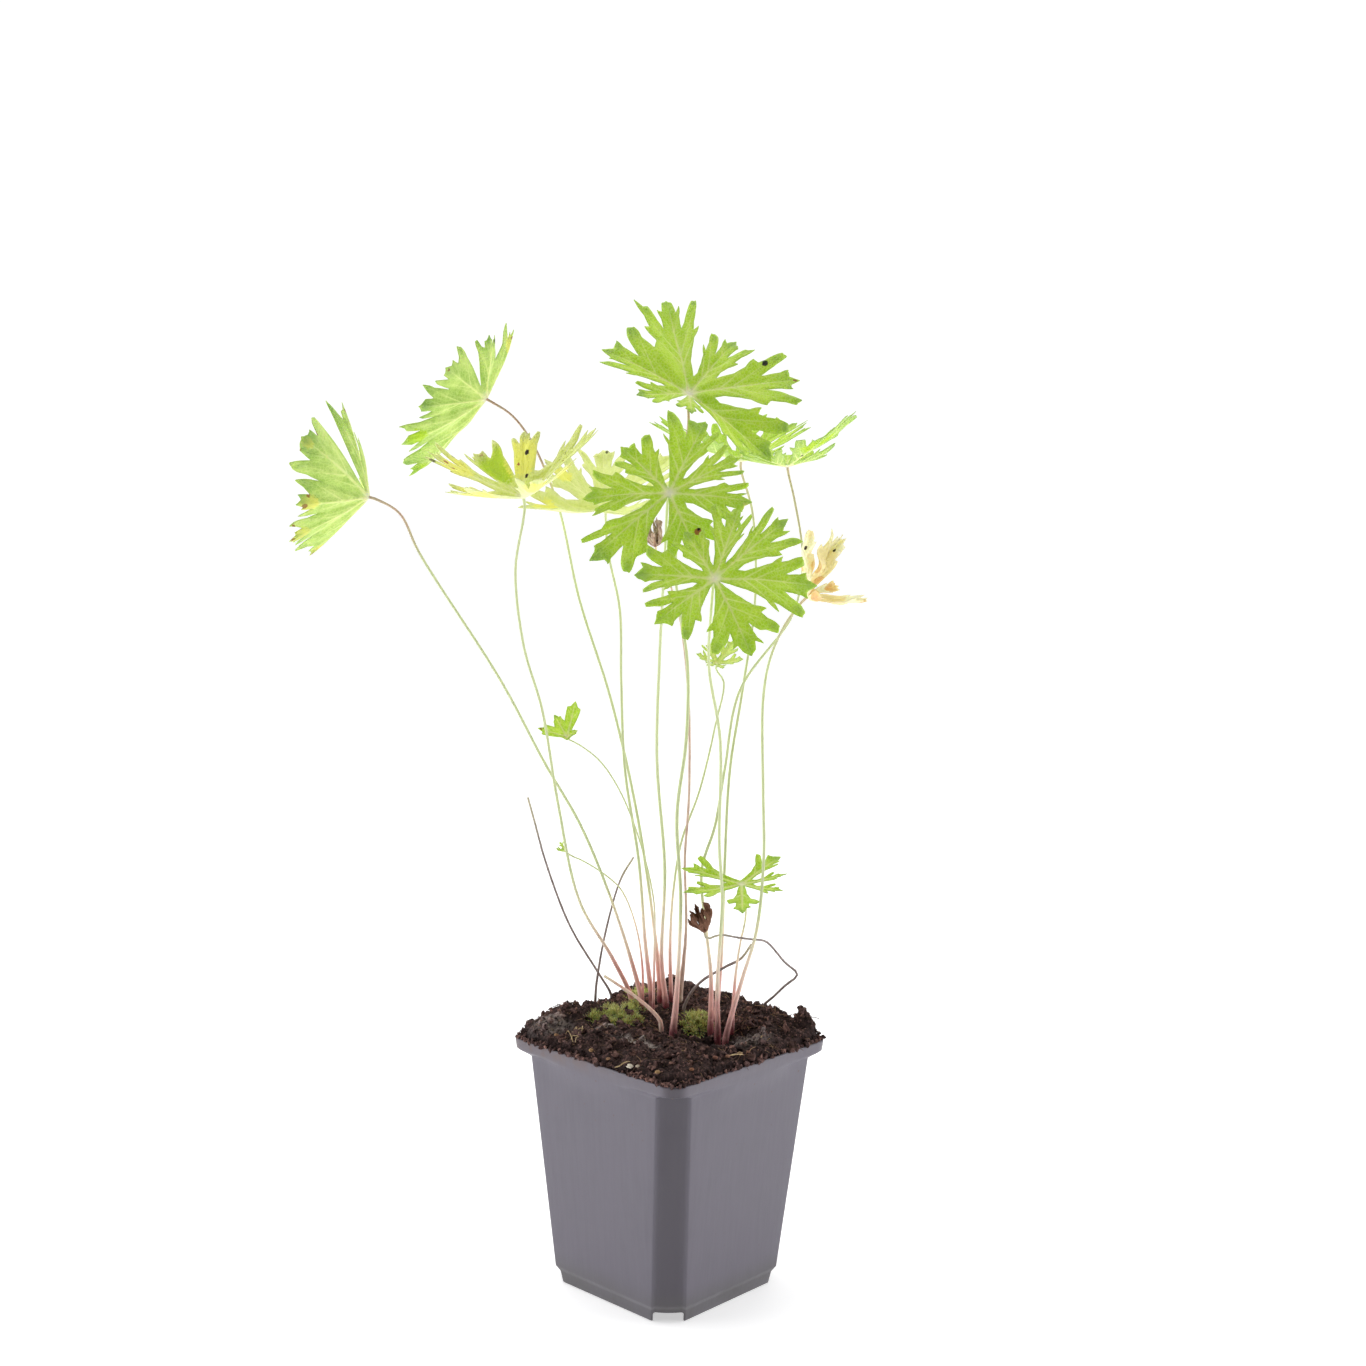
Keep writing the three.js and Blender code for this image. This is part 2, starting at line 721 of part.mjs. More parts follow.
// A round, tapering rod along a smooth line, closed at both ends, with its rings closest together at the tip.
function rod(line, radiusAt, steps) {
  const curve = new THREE.CatmullRomCurve3(line.map((p) => new THREE.Vector3(...p)), false, "centripetal");
  curve.arcLengthDivisions = 400;
  const length = curve.getLength();
  const foot = ROOT_DEPTH + 1.5;
  const stations = [0, foot * 0.5, foot];
  for (let k = 1; k <= steps; k++) stations.push(foot + (length - foot) * (1 - (1 - k / steps) ** 1.6));
  const side = new THREE.Vector3(1, 0, 0);
  const across = new THREE.Vector3();
  const rings = stations.map((d) => {
    const t = Math.min(1, d / length);
    const p = curve.getPointAt(t);
    const along = curve.getTangentAt(t);
    side.addScaledVector(along, -side.dot(along)).normalize();
    across.crossVectors(along, side);
    const r = radiusAt(t, p);
    const ring = [];
    for (let i = 0; i < STALK_SIDES; i++) {
      const a = (i / STALK_SIDES) * 2 * Math.PI;
      const q = p.clone().addScaledVector(side, r * Math.cos(a)).addScaledVector(across, r * Math.sin(a));
      ring.push(q.toArray());
    }
    return ring;
  });
  const { points, faces } = skin(rings);
  return geometryOf(points, faces);
}

function stalkGeometry({ base, path, thick, hub, face }) {
  const [x, y] = base;
  const z = soilTop(x, y);
  const line = [[x, y, z - ROOT_DEPTH], [x, y, z - 5], [x, y, z + 1.2], ...path];
  if (hub) {
    const { n } = leafAxes(face);
    const end = new THREE.Vector3(...hub).addScaledVector(n, -(BLADE_THICKNESS / 2 + STALK_TIP_GAP));
    const near = new THREE.Vector3(...hub).addScaledVector(n, -STALK_NECK);
    line.push(near.toArray(), end.toArray());
  }
  const [foot, mid, tip] = thick;
  const radiusAt = (t, p) => {
    const above = THREE.MathUtils.smoothstep(p.z, z, z + 45);
    return foot + (mid - foot) * above + ((tip - mid) * Math.max(0, t - 0.3)) / 0.7;
  };
  return rod(line, radiusAt, path.length * 2 + STALK_STEPS);
}

function nodeOf(name, geometry, color, roughness) {
  geometry.computeVertexNormals();
  const material = new THREE.MeshStandardMaterial({ name, color, roughness, metalness: 0 });
  const mesh = new THREE.Mesh(geometry, material);
  mesh.name = name;
  return mesh;
}

const POT_GREY = 0x6c6670;
const PEAT = 0x2c1d16;
const LEAF_GREEN = 0x86b82e;
const STALK_GREEN = 0xb7bf6c;
const OLD_WOOD = 0x5a4a40;
const BLADE_COLOURS = {
  yellowing: 0xc3cf6a,
  pale_centre: 0xb2cf7c,
  dying_right: 0xe0bf6a,
  curled_dead: 0x3a2418,
  dry_brown: 0xa97a50,
};
const STALK_COLOURS = {
  curled_dead: OLD_WOOD,
  old_stick: OLD_WOOD,
  dead_left: OLD_WOOD,
  dead_back: OLD_WOOD,
  stub: 0xd9b09a,
};

function stalkNode(stalk) {
  return nodeOf(`stalk_${stalk.name}`, stalkGeometry(stalk), STALK_COLOURS[stalk.name] ?? STALK_GREEN, 0.6);
}

const plant = new THREE.Group();
plant.name = "hardy_geranium_in_pot";
plant.add(nodeOf("pot", geometryFrom(potSolid()), POT_GREY, 0.5));
plant.add(nodeOf("soil", geometryFrom(soilSolid([...LEAVES, ...BARE_STALKS])), PEAT, 0.95));
for (const leaf of LEAVES) {
  const group = new THREE.Group();
  group.name = leaf.name;
  const blade = thicken(bladeSheet(leaf), BLADE_THICKNESS);
  group.add(nodeOf(`blade_${leaf.name}`, blade, BLADE_COLOURS[leaf.name] ?? LEAF_GREEN, 0.6));
  group.add(stalkNode(leaf));
  plant.add(group);
}
for (const stalk of BARE_STALKS) plant.add(stalkNode(stalk));

export default plant;
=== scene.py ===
import math
import random

import bpy
import numpy as np
from mathutils import Matrix, Vector, noise
from mathutils.geometry import delaunay_2d_cdt


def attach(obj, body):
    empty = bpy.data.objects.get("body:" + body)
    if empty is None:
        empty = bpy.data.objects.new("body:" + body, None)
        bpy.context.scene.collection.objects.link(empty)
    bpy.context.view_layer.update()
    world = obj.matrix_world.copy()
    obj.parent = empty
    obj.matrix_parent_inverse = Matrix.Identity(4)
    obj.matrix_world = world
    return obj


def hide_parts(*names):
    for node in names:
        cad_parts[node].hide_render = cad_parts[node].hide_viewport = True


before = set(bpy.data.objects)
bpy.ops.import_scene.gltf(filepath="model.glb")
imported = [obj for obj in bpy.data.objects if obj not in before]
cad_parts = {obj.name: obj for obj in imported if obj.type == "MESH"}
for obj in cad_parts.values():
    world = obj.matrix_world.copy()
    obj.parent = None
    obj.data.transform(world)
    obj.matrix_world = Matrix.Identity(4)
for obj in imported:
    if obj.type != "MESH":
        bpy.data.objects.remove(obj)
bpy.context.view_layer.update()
mm = 0.001
perSquareMetre = 1e6  # from a count per square millimetre

# ---- helpers for nodes


def linear(colour):
    # red, green and blue from 0 to 255, as a shader takes them
    shares = [c / 255 for c in colour]
    return tuple(c / 12.92 if c <= 0.04045 else ((c + 0.055) / 1.055) ** 2.4 for c in shares) + (1.0,)


def isSocket(value):
    return isinstance(value, bpy.types.NodeSocket)


def treeOf(*values):
    return next(v.id_data for v in values if isSocket(v))


def fill(tree, socket, value):
    if isSocket(value):
        tree.links.new(value, socket)
    else:
        socket.default_value = value


def addNode(tree, kind, inputs=None, **settings):
    made = tree.nodes.new(kind)
    for name, value in settings.items():
        setattr(made, name, value)
    for key, value in (inputs or {}).items():
        fill(tree, made.inputs[key], value)
    return made


def mix(share, low, high):
    # a plain (red, green, blue) counts from 0 to 255
    tree = treeOf(share, low, high)
    made = addNode(tree, "ShaderNodeMix", data_type="RGBA")
    for index, value in ((0, share), (6, low), (7, high)):
        plain = not isSocket(value) and index and len(value) == 3
        fill(tree, made.inputs[index], linear(value) if plain else value)
    return made.outputs[2]


def calc(operation, a, b=0.0, clamp=False):
    tree = treeOf(a, b)
    return addNode(tree, "ShaderNodeMath", {0: a, 1: b}, operation=operation, use_clamp=clamp).outputs[0]


def times(a, b):
    return calc("MULTIPLY", a, b)


def plus(a, b):
    return calc("ADD", a, b)


def remap(value, low, high, toLow=0.0, toHigh=1.0):
    inputs = {"Value": value, "From Min": low, "From Max": high, "To Min": toLow, "To Max": toHigh}
    return addNode(treeOf(value), "ShaderNodeMapRange", inputs, interpolation_type="SMOOTHSTEP").outputs[0]


def vector(operation, a, b):
    inputs = {0: a, "Scale" if operation == "SCALE" else 1: b}
    return addNode(treeOf(a, b), "ShaderNodeVectorMath", inputs, operation=operation).outputs[0]


def parts(value):
    return addNode(treeOf(value), "ShaderNodeSeparateXYZ", {0: value}).outputs


def joinedUp(tree, x, y, z=0.0):
    return addNode(tree, "ShaderNodeCombineXYZ", {0: x, 1: y, 2: z}).outputs[0]


def scaled(place, scale):
    return addNode(treeOf(place), "ShaderNodeMapping", {"Vector": place, "Scale": scale}).outputs[0]


def objectPlace(tree):
    # object coordinates in millimetres
    return scaled(addNode(tree, "ShaderNodeTexCoord").outputs["Object"], (1000, 1000, 1000))


def attribute(tree, name):
    return addNode(tree, "ShaderNodeAttribute", attribute_name=name).outputs["Fac"]


def noiseAt(place, scale, detail, **more):
    inputs = {"Vector": place, "Scale": scale, "Detail": detail, **more}
    return addNode(treeOf(place), "ShaderNodeTexNoise", inputs)


def newTree(name, kind, inputs, outputs):
    tree = bpy.data.node_groups.new(name, kind)
    for way, sockets in (("INPUT", inputs), ("OUTPUT", outputs)):
        for label, sort, *value in sockets:
            socket = tree.interface.new_socket(label, in_out=way, socket_type="NodeSocket" + sort)
            if value:
                socket.default_value = value[0]
    return tree, tree.nodes.new("NodeGroupInput").outputs, tree.nodes.new("NodeGroupOutput").inputs


def newGroup(name, inputs, outputs):
    inputs = [("Place", "Vector")] + [(label, "Float", value) for label, value in inputs]
    return newTree(name, "ShaderNodeTree", inputs, [(label, "Float") for label in outputs])


def useGroup(group, place, *values):
    # the values come in the order of the group's own inputs
    tree = treeOf(place)
    made = addNode(tree, "ShaderNodeGroup", node_tree=group)
    for socket, value in zip(made.inputs, (place, *values)):
        fill(tree, socket, value)
    return made.outputs


def makeMottling():
    # soft patches of two tones with finer patches inside
    tree, given, out = newGroup("mottling", [("Patches per mm", 0.1), ("Contrast", 0.3)], ["Mask"])
    broad = noiseAt(given["Place"], given[1], 4, Roughness=0.6).outputs[0]
    low, high = calc("SUBTRACT", 0.5, given["Contrast"]), plus(0.5, given["Contrast"])
    fill(tree, out["Mask"], remap(broad, low, high))
    return tree


def makeSpeckle():
    # small round flecks
    tree, given, out = newGroup("speckle", [("Flecks per mm", 0.5), ("Size", 0.2)], ["Mask"])
    cells = addNode(tree, "ShaderNodeTexVoronoi", {"Vector": given["Place"], "Scale": given[1]}).outputs
    tone = addNode(tree, "ShaderNodeSeparateColor", {0: cells["Color"]}).outputs[0]
    size = times(given["Size"], remap(tone, 0.4, 1.0))
    mask = remap(cells["Distance"], times(size, 0.5), size, 1.0, 0.0)
    fill(tree, out["Mask"], times(mask, calc("GREATER_THAN", tone, 0.55)))
    return tree


def makeGrain():
    # fine uneven surface, as a height
    tree, given, out = newGroup("grain", [("Grains per mm", 2.0)], ["Height"])
    fill(tree, out["Height"], noiseAt(given["Place"], given[1], 3, Roughness=0.7).outputs[0])
    return tree


def makeVeinNet():
    # the fine net between the veins: lines and a height that swells between them
    tree, given, out = newGroup("veinNet", [("Cells per mm", 0.8)], ["Lines", "Swell"])
    push = vector("SCALE", noiseAt(given["Place"], 0.7, 2).outputs["Color"], 1.1)
    inputs = {"Vector": vector("ADD", given["Place"], push), "Scale": given[1]}
    gap = addNode(tree, "ShaderNodeTexVoronoi", inputs, feature="DISTANCE_TO_EDGE").outputs["Distance"]
    fill(tree, out["Lines"], remap(gap, 0.02, 0.14, 1.0, 0.0))
    fill(tree, out["Swell"], remap(gap, 0.0, 0.4))
    return tree


mottling, speckle, grain, veinNet = makeMottling(), makeSpeckle(), makeGrain(), makeVeinNet()


def mottle(place, perMm, contrast):
    return useGroup(mottling, place, perMm, contrast)[0]


def flecksAt(place, perMm, size):
    return useGroup(speckle, place, perMm, size)[0]


def grainAt(place, perMm):
    return useGroup(grain, place, perMm)[0]


def startMaterial(name, **plain):
    material = bpy.data.materials.new(name)
    material.use_nodes = True
    shader = material.node_tree.nodes["Principled BSDF"]
    for label, value in plain.items():
        shader.inputs[label.replace("_", " ")].default_value = value
    return material, material.node_tree, shader


def finishMaterial(shader, colour, height, depth, strength=0.8, rough=None):
    # depth is what a height of 1 stands for, in metres
    tree = treeOf(colour)
    bump = addNode(tree, "ShaderNodeBump", {"Height": height, "Distance": depth, "Strength": strength})
    fill(tree, shader.inputs["Normal"], bump.outputs[0])
    fill(tree, shader.inputs["Base Color"], colour)
    if rough is not None:
        fill(tree, shader.inputs["Roughness"], rough)


# ---- helpers for meshes


def smoothStep(x, low, high):
    t = min(1, max(0, (x - low) / (high - low)))
    return t * t * (3 - 2 * t)


def spun(x, y, degrees):
    c, s = math.cos(math.radians(degrees)), math.sin(math.radians(degrees))
    return c * x - s * y, s * x + c * y


def addObject(name, data):
    made = bpy.data.objects.new(name, data)
    bpy.context.collection.objects.link(made)
    return made


def meshObject(name, points, faces, material=None, edges=(), smooth=True):
    # points in millimetres
    mesh = bpy.data.meshes.new(name)
    mesh.from_pydata([tuple(p) for p in np.array(points) * mm], edges, [tuple(f) for f in faces])
    mesh.polygons.foreach_set("use_smooth", [smooth] * len(mesh.polygons))
    mesh.update()
    if material:
        mesh.materials.append(material)
    return addObject(name, mesh)


def storeValues(piece, **values):
    for name, numbers in values.items():
        made = piece.data.attributes.new(name, "FLOAT", "POINT")
        made.data.foreach_set("value", np.asarray(numbers, dtype=np.float32))


def plainMesh(piece, name):
    # the evaluated shape as a mesh with no modifiers
    graph = bpy.context.evaluated_depsgraph_get()
    mesh = bpy.data.meshes.new_from_object(
        piece.evaluated_get(graph), preserve_all_data_layers=True, depsgraph=graph)
    mesh.name = name
    old = piece.data
    bpy.data.objects.remove(piece)
    if old.users == 0:
        bpy.data.meshes.remove(old)
    return addObject(name, mesh)


def place(piece, slot, *nodes):
    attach(piece, "root")
    if nodes:
        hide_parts(*nodes)


def grow(piece, tree, name, settings):
    change = piece.modifiers.new("grow", "NODES")
    change.node_group = tree
    for item in tree.interface.items_tree:
        if item.item_type == "SOCKET" and item.in_out == "INPUT" and item.name in settings:
            change[item.identifier] = settings[item.name]
    return plainMesh(piece, name)


# ---- helpers for geometry nodes


def newShapeTree(name, inputs):
    shape = [("Geometry", "Geometry")]
    inputs = shape + inputs + [("Seed", "Int", 1), ("Material", "Material")]
    return newTree(name, "GeometryNodeTree", inputs, shape)


def finishTree(tree, shape, given, out):
    real = addNode(tree, "GeometryNodeRealizeInstances", {0: shape}).outputs[0]
    painted = addNode(tree, "GeometryNodeSetMaterial", {0: real, "Material": given["Material"]}).outputs[0]
    fill(tree, out[0], painted)
    return tree


def shapeNode(tree, kind, inputs=None, **settings):
    return addNode(tree, "GeometryNode" + kind, inputs, **settings).outputs[0]


def joinShapes(tree, shapes):
    join = tree.nodes.new("GeometryNodeJoinGeometry")
    for shape in shapes:
        tree.links.new(shape, join.inputs[0])
    return join.outputs[0]


def named(tree, name):
    return shapeNode(tree, "InputNamedAttribute", {"Name": name}, data_type="FLOAT")


def tagged(shape, name, value, domain="POINT"):
    inputs = {0: shape, "Name": name, "Value": value}
    return shapeNode(treeOf(shape), "StoreNamedAttribute", inputs, data_type="FLOAT", domain=domain)


def anyOf(low, high, seed, step):
    # a random number or vector for each point
    kind, first, out = ("FLOAT_VECTOR", 0, 0) if isinstance(low, tuple) else ("FLOAT", 2, 1)
    inputs = {first: low, first + 1: high, "Seed": plus(seed, float(step))}
    return addNode(treeOf(seed), "FunctionNodeRandomValue", inputs, data_type=kind).outputs[out]


def rotation(angles):
    return addNode(treeOf(angles), "FunctionNodeEulerToRotation", {0: angles}).outputs[0]


def spotsOn(mesh, density, seed):
    inputs = {"Mesh": mesh, "Density": density, "Seed": seed}
    return addNode(treeOf(mesh), "GeometryNodeDistributePointsOnFaces", inputs).outputs


def plant(spots, shape, turn, scale, pick=False):
    inputs = {"Points": spots, "Instance": shape, "Rotation": turn, "Scale": scale, "Pick Instance": pick}
    return shapeNode(treeOf(spots), "InstanceOnPoints", inputs)


def upright(spots, shape, tilt, sizes, length, seed):
    # stood on the surface, leaning at random, the steps of the seed being 1 and 2
    tree = treeOf(seed)
    wild = rotation(anyOf((-tilt, -tilt, 0), (tilt, tilt, 6.28), seed, 1))
    inputs = {0: spots["Rotation"], 1: wild}
    turn = addNode(tree, "FunctionNodeRotateRotation", inputs, rotation_space="LOCAL").outputs[0]
    size = times(anyOf(*sizes, seed, 2), length)
    return plant(spots[0], shape, turn, joinedUp(tree, size, size, size))


def spike(tree, radius):
    inputs = {"Vertices": 3, "Radius Top": 0.0, "Radius Bottom": radius, "Depth": 1.0}
    return shapeNode(tree, "MeshCone", inputs, fill_type="NONE")


# ---- camera, light and floor

view = {
    "place": (-0.02485, -0.75675, 0.33814),
    "heading": 0.0361,  # turn to the right of +Y
    "down": 0.1319,
    "roll": -0.0191,
    "lens": 2000 / 1366 * 36,
}
studio = {
    "backdrop": 1.05, "cameraSide": 0.04,  # brightness of the room ahead of the camera and behind it
    "floor": (0.93, 0.93, 0.935, 1), "floorGlow": 0.5, "floorHalf": 6000,
    # place, height aimed at, size and power
    "lights": {"softLeft": ((-1.0, -0.05, 0.45), 0.2, 0.9, 5.6),
               "softRight": ((1.0, -0.05, 0.45), 0.2, 0.9, 5.6),
               "softTop": ((-0.25, 0.05, 1.15), 0.25, 0.7, 3.5)},
}


def setCamera():
    a, p = view["heading"], view["down"]
    forward = Vector((math.sin(a) * math.cos(p), math.cos(a) * math.cos(p), -math.sin(p)))
    level = Vector((math.cos(a), -math.sin(a), 0))
    above = level.cross(forward)
    c, s = math.cos(view["roll"]), math.sin(view["roll"])
    data = bpy.data.cameras.new("camera")
    data.sensor_width, data.lens, data.clip_start, data.clip_end = 36, view["lens"], 0.01, 50
    camera = addObject("camera", data)
    turn = Matrix((level * c - above * s, level * s + above * c, -forward)).transposed().to_4x4()
    camera.matrix_world = Matrix.Translation(view["place"]) @ turn
    bpy.context.scene.camera = camera


def setStudio():
    world = bpy.data.worlds.new("studio")
    world.use_nodes = True
    bpy.context.scene.world = world
    tree = world.node_tree
    tree.nodes.clear()
    ahead = parts(addNode(tree, "ShaderNodeTexCoord").outputs["Generated"])["Y"]
    power = remap(ahead, -0.45, 0.55, studio["cameraSide"], studio["backdrop"])
    glow = addNode(tree, "ShaderNodeBackground", {"Color": (1, 1, 1, 1), "Strength": power})
    addNode(tree, "ShaderNodeOutputWorld", {0: glow.outputs[0]})
    for name, (spot, height, size, power) in studio["lights"].items():
        data = bpy.data.lights.new(name, "AREA")
        data.shape, data.size, data.energy = "SQUARE", size, power
        lamp = addObject(name, data)
        lamp.location = spot
        lamp.rotation_euler = (Vector((0, 0, height)) - Vector(spot)).to_track_quat("-Z", "Y").to_euler()
    paint = startMaterial("paleFloor", Base_Color=studio["floor"], Roughness=0.7, Emission_Color=(1, 1, 1, 1),
                          Emission_Strength=studio["floorGlow"])[0]
    far = studio["floorHalf"]
    corners = [(-far, -far, 0), (far, -far, 0), (far, far, 0), (-far, far, 0)]
    meshObject("floor", corners, [(0, 1, 2, 3)], paint, smooth=False)
    bpy.context.scene.view_settings.view_transform = "Standard"


setCamera()
setStudio()
print("camera, light and floor set")

# ---- pot

pot = {
    "height": 98, "sideBase": 69.5, "sideTop": 85.2, "taperEnd": 92, "wall": 1.3,
    # the foot draws in below the sides
    "footLow": 66.4, "footMid": 68, "footHigh": 4.8, "footTop": 7, "footEdge": 0.4,
    "setback": 9, "setbackInset": 0.6, "step": 0.8, "crown": 0.7, "fillet": 1.2,
    "base": 4.4, "baseThick": 1.5,
    "rimSide": 90, "rimDraft": 0.8, "rimCorner": 8, "flareLow": 92, "flareTop": 94, "sideFlare": (84, 97.6),
    "lag": 0.9,  # how much higher the flare lies inside
    "sidePoints": 11,
    "notchHeight": 3.6, "notchWidth": 11.6, "notchInner": 33, "notchLong": 30, "notchCurve": 0.7,
    # holes in the base: x, y, radius
    "drains": [(0, 0, 4), (20, 0, 3), (-20, 0, 3), (0, 20, 3), (0, -20, 3)],
    "colour": (103, 99, 110), "colourWorn": (117, 112, 123), "colourDeep": (92, 88, 99),
    # the strip colour is a painted shade for the middle of the corner strips
    "stripShade": (78, 73, 82), "colourFoot": (92, 91, 88), "dirt": (110, 90, 84), "roughness": 0.42,
}


def potMaterial():
    material, tree, shader = startMaterial("potPlastic", Roughness=pot["roughness"], IOR=1.45)
    where = objectPlace(tree)
    height, aside = parts(where)["Z"], parts(where)["X"]
    lines, patches = mottle(scaled(where, (1, 1, 0.035)), 0.55, 0.22), mottle(where, 0.06, 0.2)
    colour = mix(times(lines, 0.3), pot["colour"], pot["colourDeep"])
    colour = mix(times(patches, 0.3), colour, pot["colourWorn"])
    # painted shade: the corner strips are darkened down their middles, as if they faced the dim side of the
    # room
    colour = mix(times(attribute(tree, "strip"), 0.8), colour, pot["stripShade"])
    low = times(remap(height, 3, 16, 0.65, 0), remap(patches, 0, 1, 0.6, 1))
    colour = mix(low, colour, pot["colourFoot"])
    flecks = flecksAt(where, 0.28, 0.16)
    colour = mix(times(flecks, remap(height, 60, 97, 0.12, 0.75)), colour, pot["dirt"])
    film = times(remap(mottle(where, 0.22, 0.1), 0, 1, 0.4, 1), remap(height, 91, 97.5, 0, 0.8))
    colour = mix(times(film, remap(aside, -50, -16, 1, 0.14)), colour, pot["dirt"])
    smooth, dull = pot["roughness"] - 0.05, pot["roughness"] + 0.2
    rough = remap(plus(patches, times(flecks, 0.6)), 0, 1.6, smooth, dull)
    finishMaterial(shader, colour, plus(times(lines, 0.7), grainAt(where, 1.6)), 0.00006, 0.6, rough)
    return material


def filleted(corners, radius):
    # every bend of the line becomes a short curve
    line = [corners[0]]
    for a, b, c in zip(corners, corners[1:], corners[2:]):
        a, b, c = Vector(a), Vector(b), Vector(c)
        back, on = a - b, c - b
        reach = min(radius, 0.45 * back.length, 0.45 * on.length)
        p, q = b + back.normalized() * reach, b + on.normalized() * reach
        for t in (0, 0.25, 0.5, 0.75, 1):
            line.append(tuple(p * (1 - t) ** 2 + b * (2 * t * (1 - t)) + q * t ** 2))
    return line + [corners[-1]]


def bodyCorner(side, inset):
    # a small step down from the side, then the strip that swells towards its middle
    half = side / 2 - inset
    cut = pot["setback"] - inset * pot["setbackInset"]
    step, crown = pot["step"], pot["crown"]
    edge = [(0, -cut - 5, 0), (0, -cut, 0), (-cut * 0.1, -cut * 0.9, step - 0.1)]
    edge.append((-cut * 0.3, -cut * 0.7, step - crown * 0.8))
    profile = edge + [(-cut / 2, -cut / 2, step - crown)] + [(y, x, s) for x, y, s in reversed(edge)]
    flat = [(half + x - s * math.sqrt(0.5), half + y - s * math.sqrt(0.5)) for x, y, s in profile]
    return filleted(flat, pot["fillet"])


cornerPoints = len(bodyCorner(pot["sideTop"], 0))


def stripShare(index):
    # 1 in the middle of a corner's strip, 0 at its edges and on the sides: where the painted shade of the
    # strips lies
    at = index % (cornerPoints + pot["sidePoints"])
    off = abs(at / (cornerPoints - 1) - 0.5) * 2
    return 0.0 if at >= cornerPoints else 1 - smoothStep(off, 0.25, 0.95)


def rimCorner(side, inset):
    radius = pot["rimCorner"] - inset / 2
    middle = side / 2 - inset - radius
    angles = [math.radians(90) * i / (cornerPoints - 1) for i in range(cornerPoints)]
    return [(middle + radius * math.cos(a), middle + radius * math.sin(a)) for a in angles]


def potRing(z, corner, swell):
    # the corner four times round, with points along the sides that swell pushes out
    ring = []
    for turn in (-135, -45, 45, 135):
        ring += [spun(x, y, turn) for x, y in corner]
        (x, y), follow = ring[-1], spun(*corner[0], turn + 90)
        dx, dy = follow[0] - x, follow[1] - y
        for k in range(1, pot["sidePoints"] + 1):
            t = k / (pot["sidePoints"] + 1)
            push = swell * smoothStep(min(t, 1 - t), 0, 0.3) / math.hypot(dx, dy)
            ring.append((x + dx * t + dy * push, y + dy * t - dx * push))
    return [(x, y, z) for x, y in ring]


def sideAt(z):
    taper = lambda h: pot["sideBase"] + (pot["sideTop"] - pot["sideBase"]) * h / pot["taperEnd"]
    if z <= pot["footHigh"]:
        return pot["footLow"] + (pot["footMid"] - pot["footLow"]) * max(0, z) / pot["footHigh"]
    if z <= pot["footTop"]:
        t = (z - pot["footHigh"]) / (pot["footTop"] - pot["footHigh"])
        return pot["footMid"] * (1 - t) + taper(pot["footTop"]) * t
    return taper(z)


def potLevel(z, inset, lag=0.0):
    # body below the flare, rim above it, and a soft S between
    low, high = pot["flareLow"] + lag, pot["flareTop"] + lag
    side = sideAt(min(z, low))
    below = (pot["height"] - max(z, high)) / (pot["height"] - pot["flareTop"])
    rim = pot["rimSide"] - pot["rimDraft"] * below
    t = min(1, max(0, (z - low) / (high - low)))
    t = 0.5 * t + 0.5 * smoothStep(t, 0, 1)
    pairs = zip(bodyCorner(side, inset), rimCorner(rim, inset))
    corner = [(a[0] + (b[0] - a[0]) * t, a[1] + (b[1] - a[1]) * t) for a, b in pairs]
    gentle = smoothStep(z, pot["sideFlare"][0] + lag, pot["sideFlare"][1] + lag)
    return potRing(z, corner, (gentle - t) * (rim - side) / 2)


def reachOf(ring, angles):
    # how far out the ring is at each angle
    x, y = np.array(ring)[:, 0], np.array(ring)[:, 1]
    return np.interp(angles, np.arctan2(y, x), np.hypot(x, y), period=2 * math.pi)


def skin(rings):
    # a stack of rings of equal count, with a fan over each end
    count = len(rings[0])
    points = [p for ring in rings for p in ring]
    faces = []
    for k in range(len(rings) - 1):
        for i in range(count):
            a, b = k * count + i, k * count + (i + 1) % count
            faces.append((a, b, b + count, a + count))
    first, last = len(points), (len(rings) - 1) * count
    points += [tuple(sum(p[j] for p in ring) / count for j in range(3)) for ring in (rings[0], rings[-1])]
    for i in range(count):
        j = (i + 1) % count
        faces += [(first, j, i), (first + 1, last + i, last + j)]
    return points, faces


def prism(name, near, far):
    # a closed bar between two outlines of equal count
    n = len(near)
    sides = [(k, (k + 1) % n, n + (k + 1) % n, n + k) for k in range(n)]
    return meshObject(name, near + far, sides + [tuple(range(n))[::-1], tuple(range(n, 2 * n))])


def potCutters():
    cutters = []
    half, high, curve = pot["notchWidth"] / 2, pot["notchHeight"], pot["notchCurve"]
    outline = [(-half, -3), (half, -3)]
    for middle, start in ((half - curve, 0), (-half + curve, 1)):
        for k in range(5):
            a = math.radians(90) * (start + k / 4)
            outline.append((middle + curve * math.cos(a), high - curve + curve * math.sin(a)))
    for q in range(4):
        ends = [[(*spun(x, y, 90 * q), z) for y, z in outline]
                for x in (pot["notchInner"], pot["notchInner"] + pot["notchLong"])]
        cutters.append(prism(f"notch{q}", *ends))
    low, high, around = pot["base"] - 1, pot["base"] + pot["baseThick"] + 1, 24
    for x, y, radius in pot["drains"]:
        angles = [math.tau * k / around for k in range(around)]
        cutters.append(prism("drain", *[
            [(x + radius * math.cos(a), y + radius * math.sin(a), z) for a in angles] for z in (low, high)]))
    return cutters


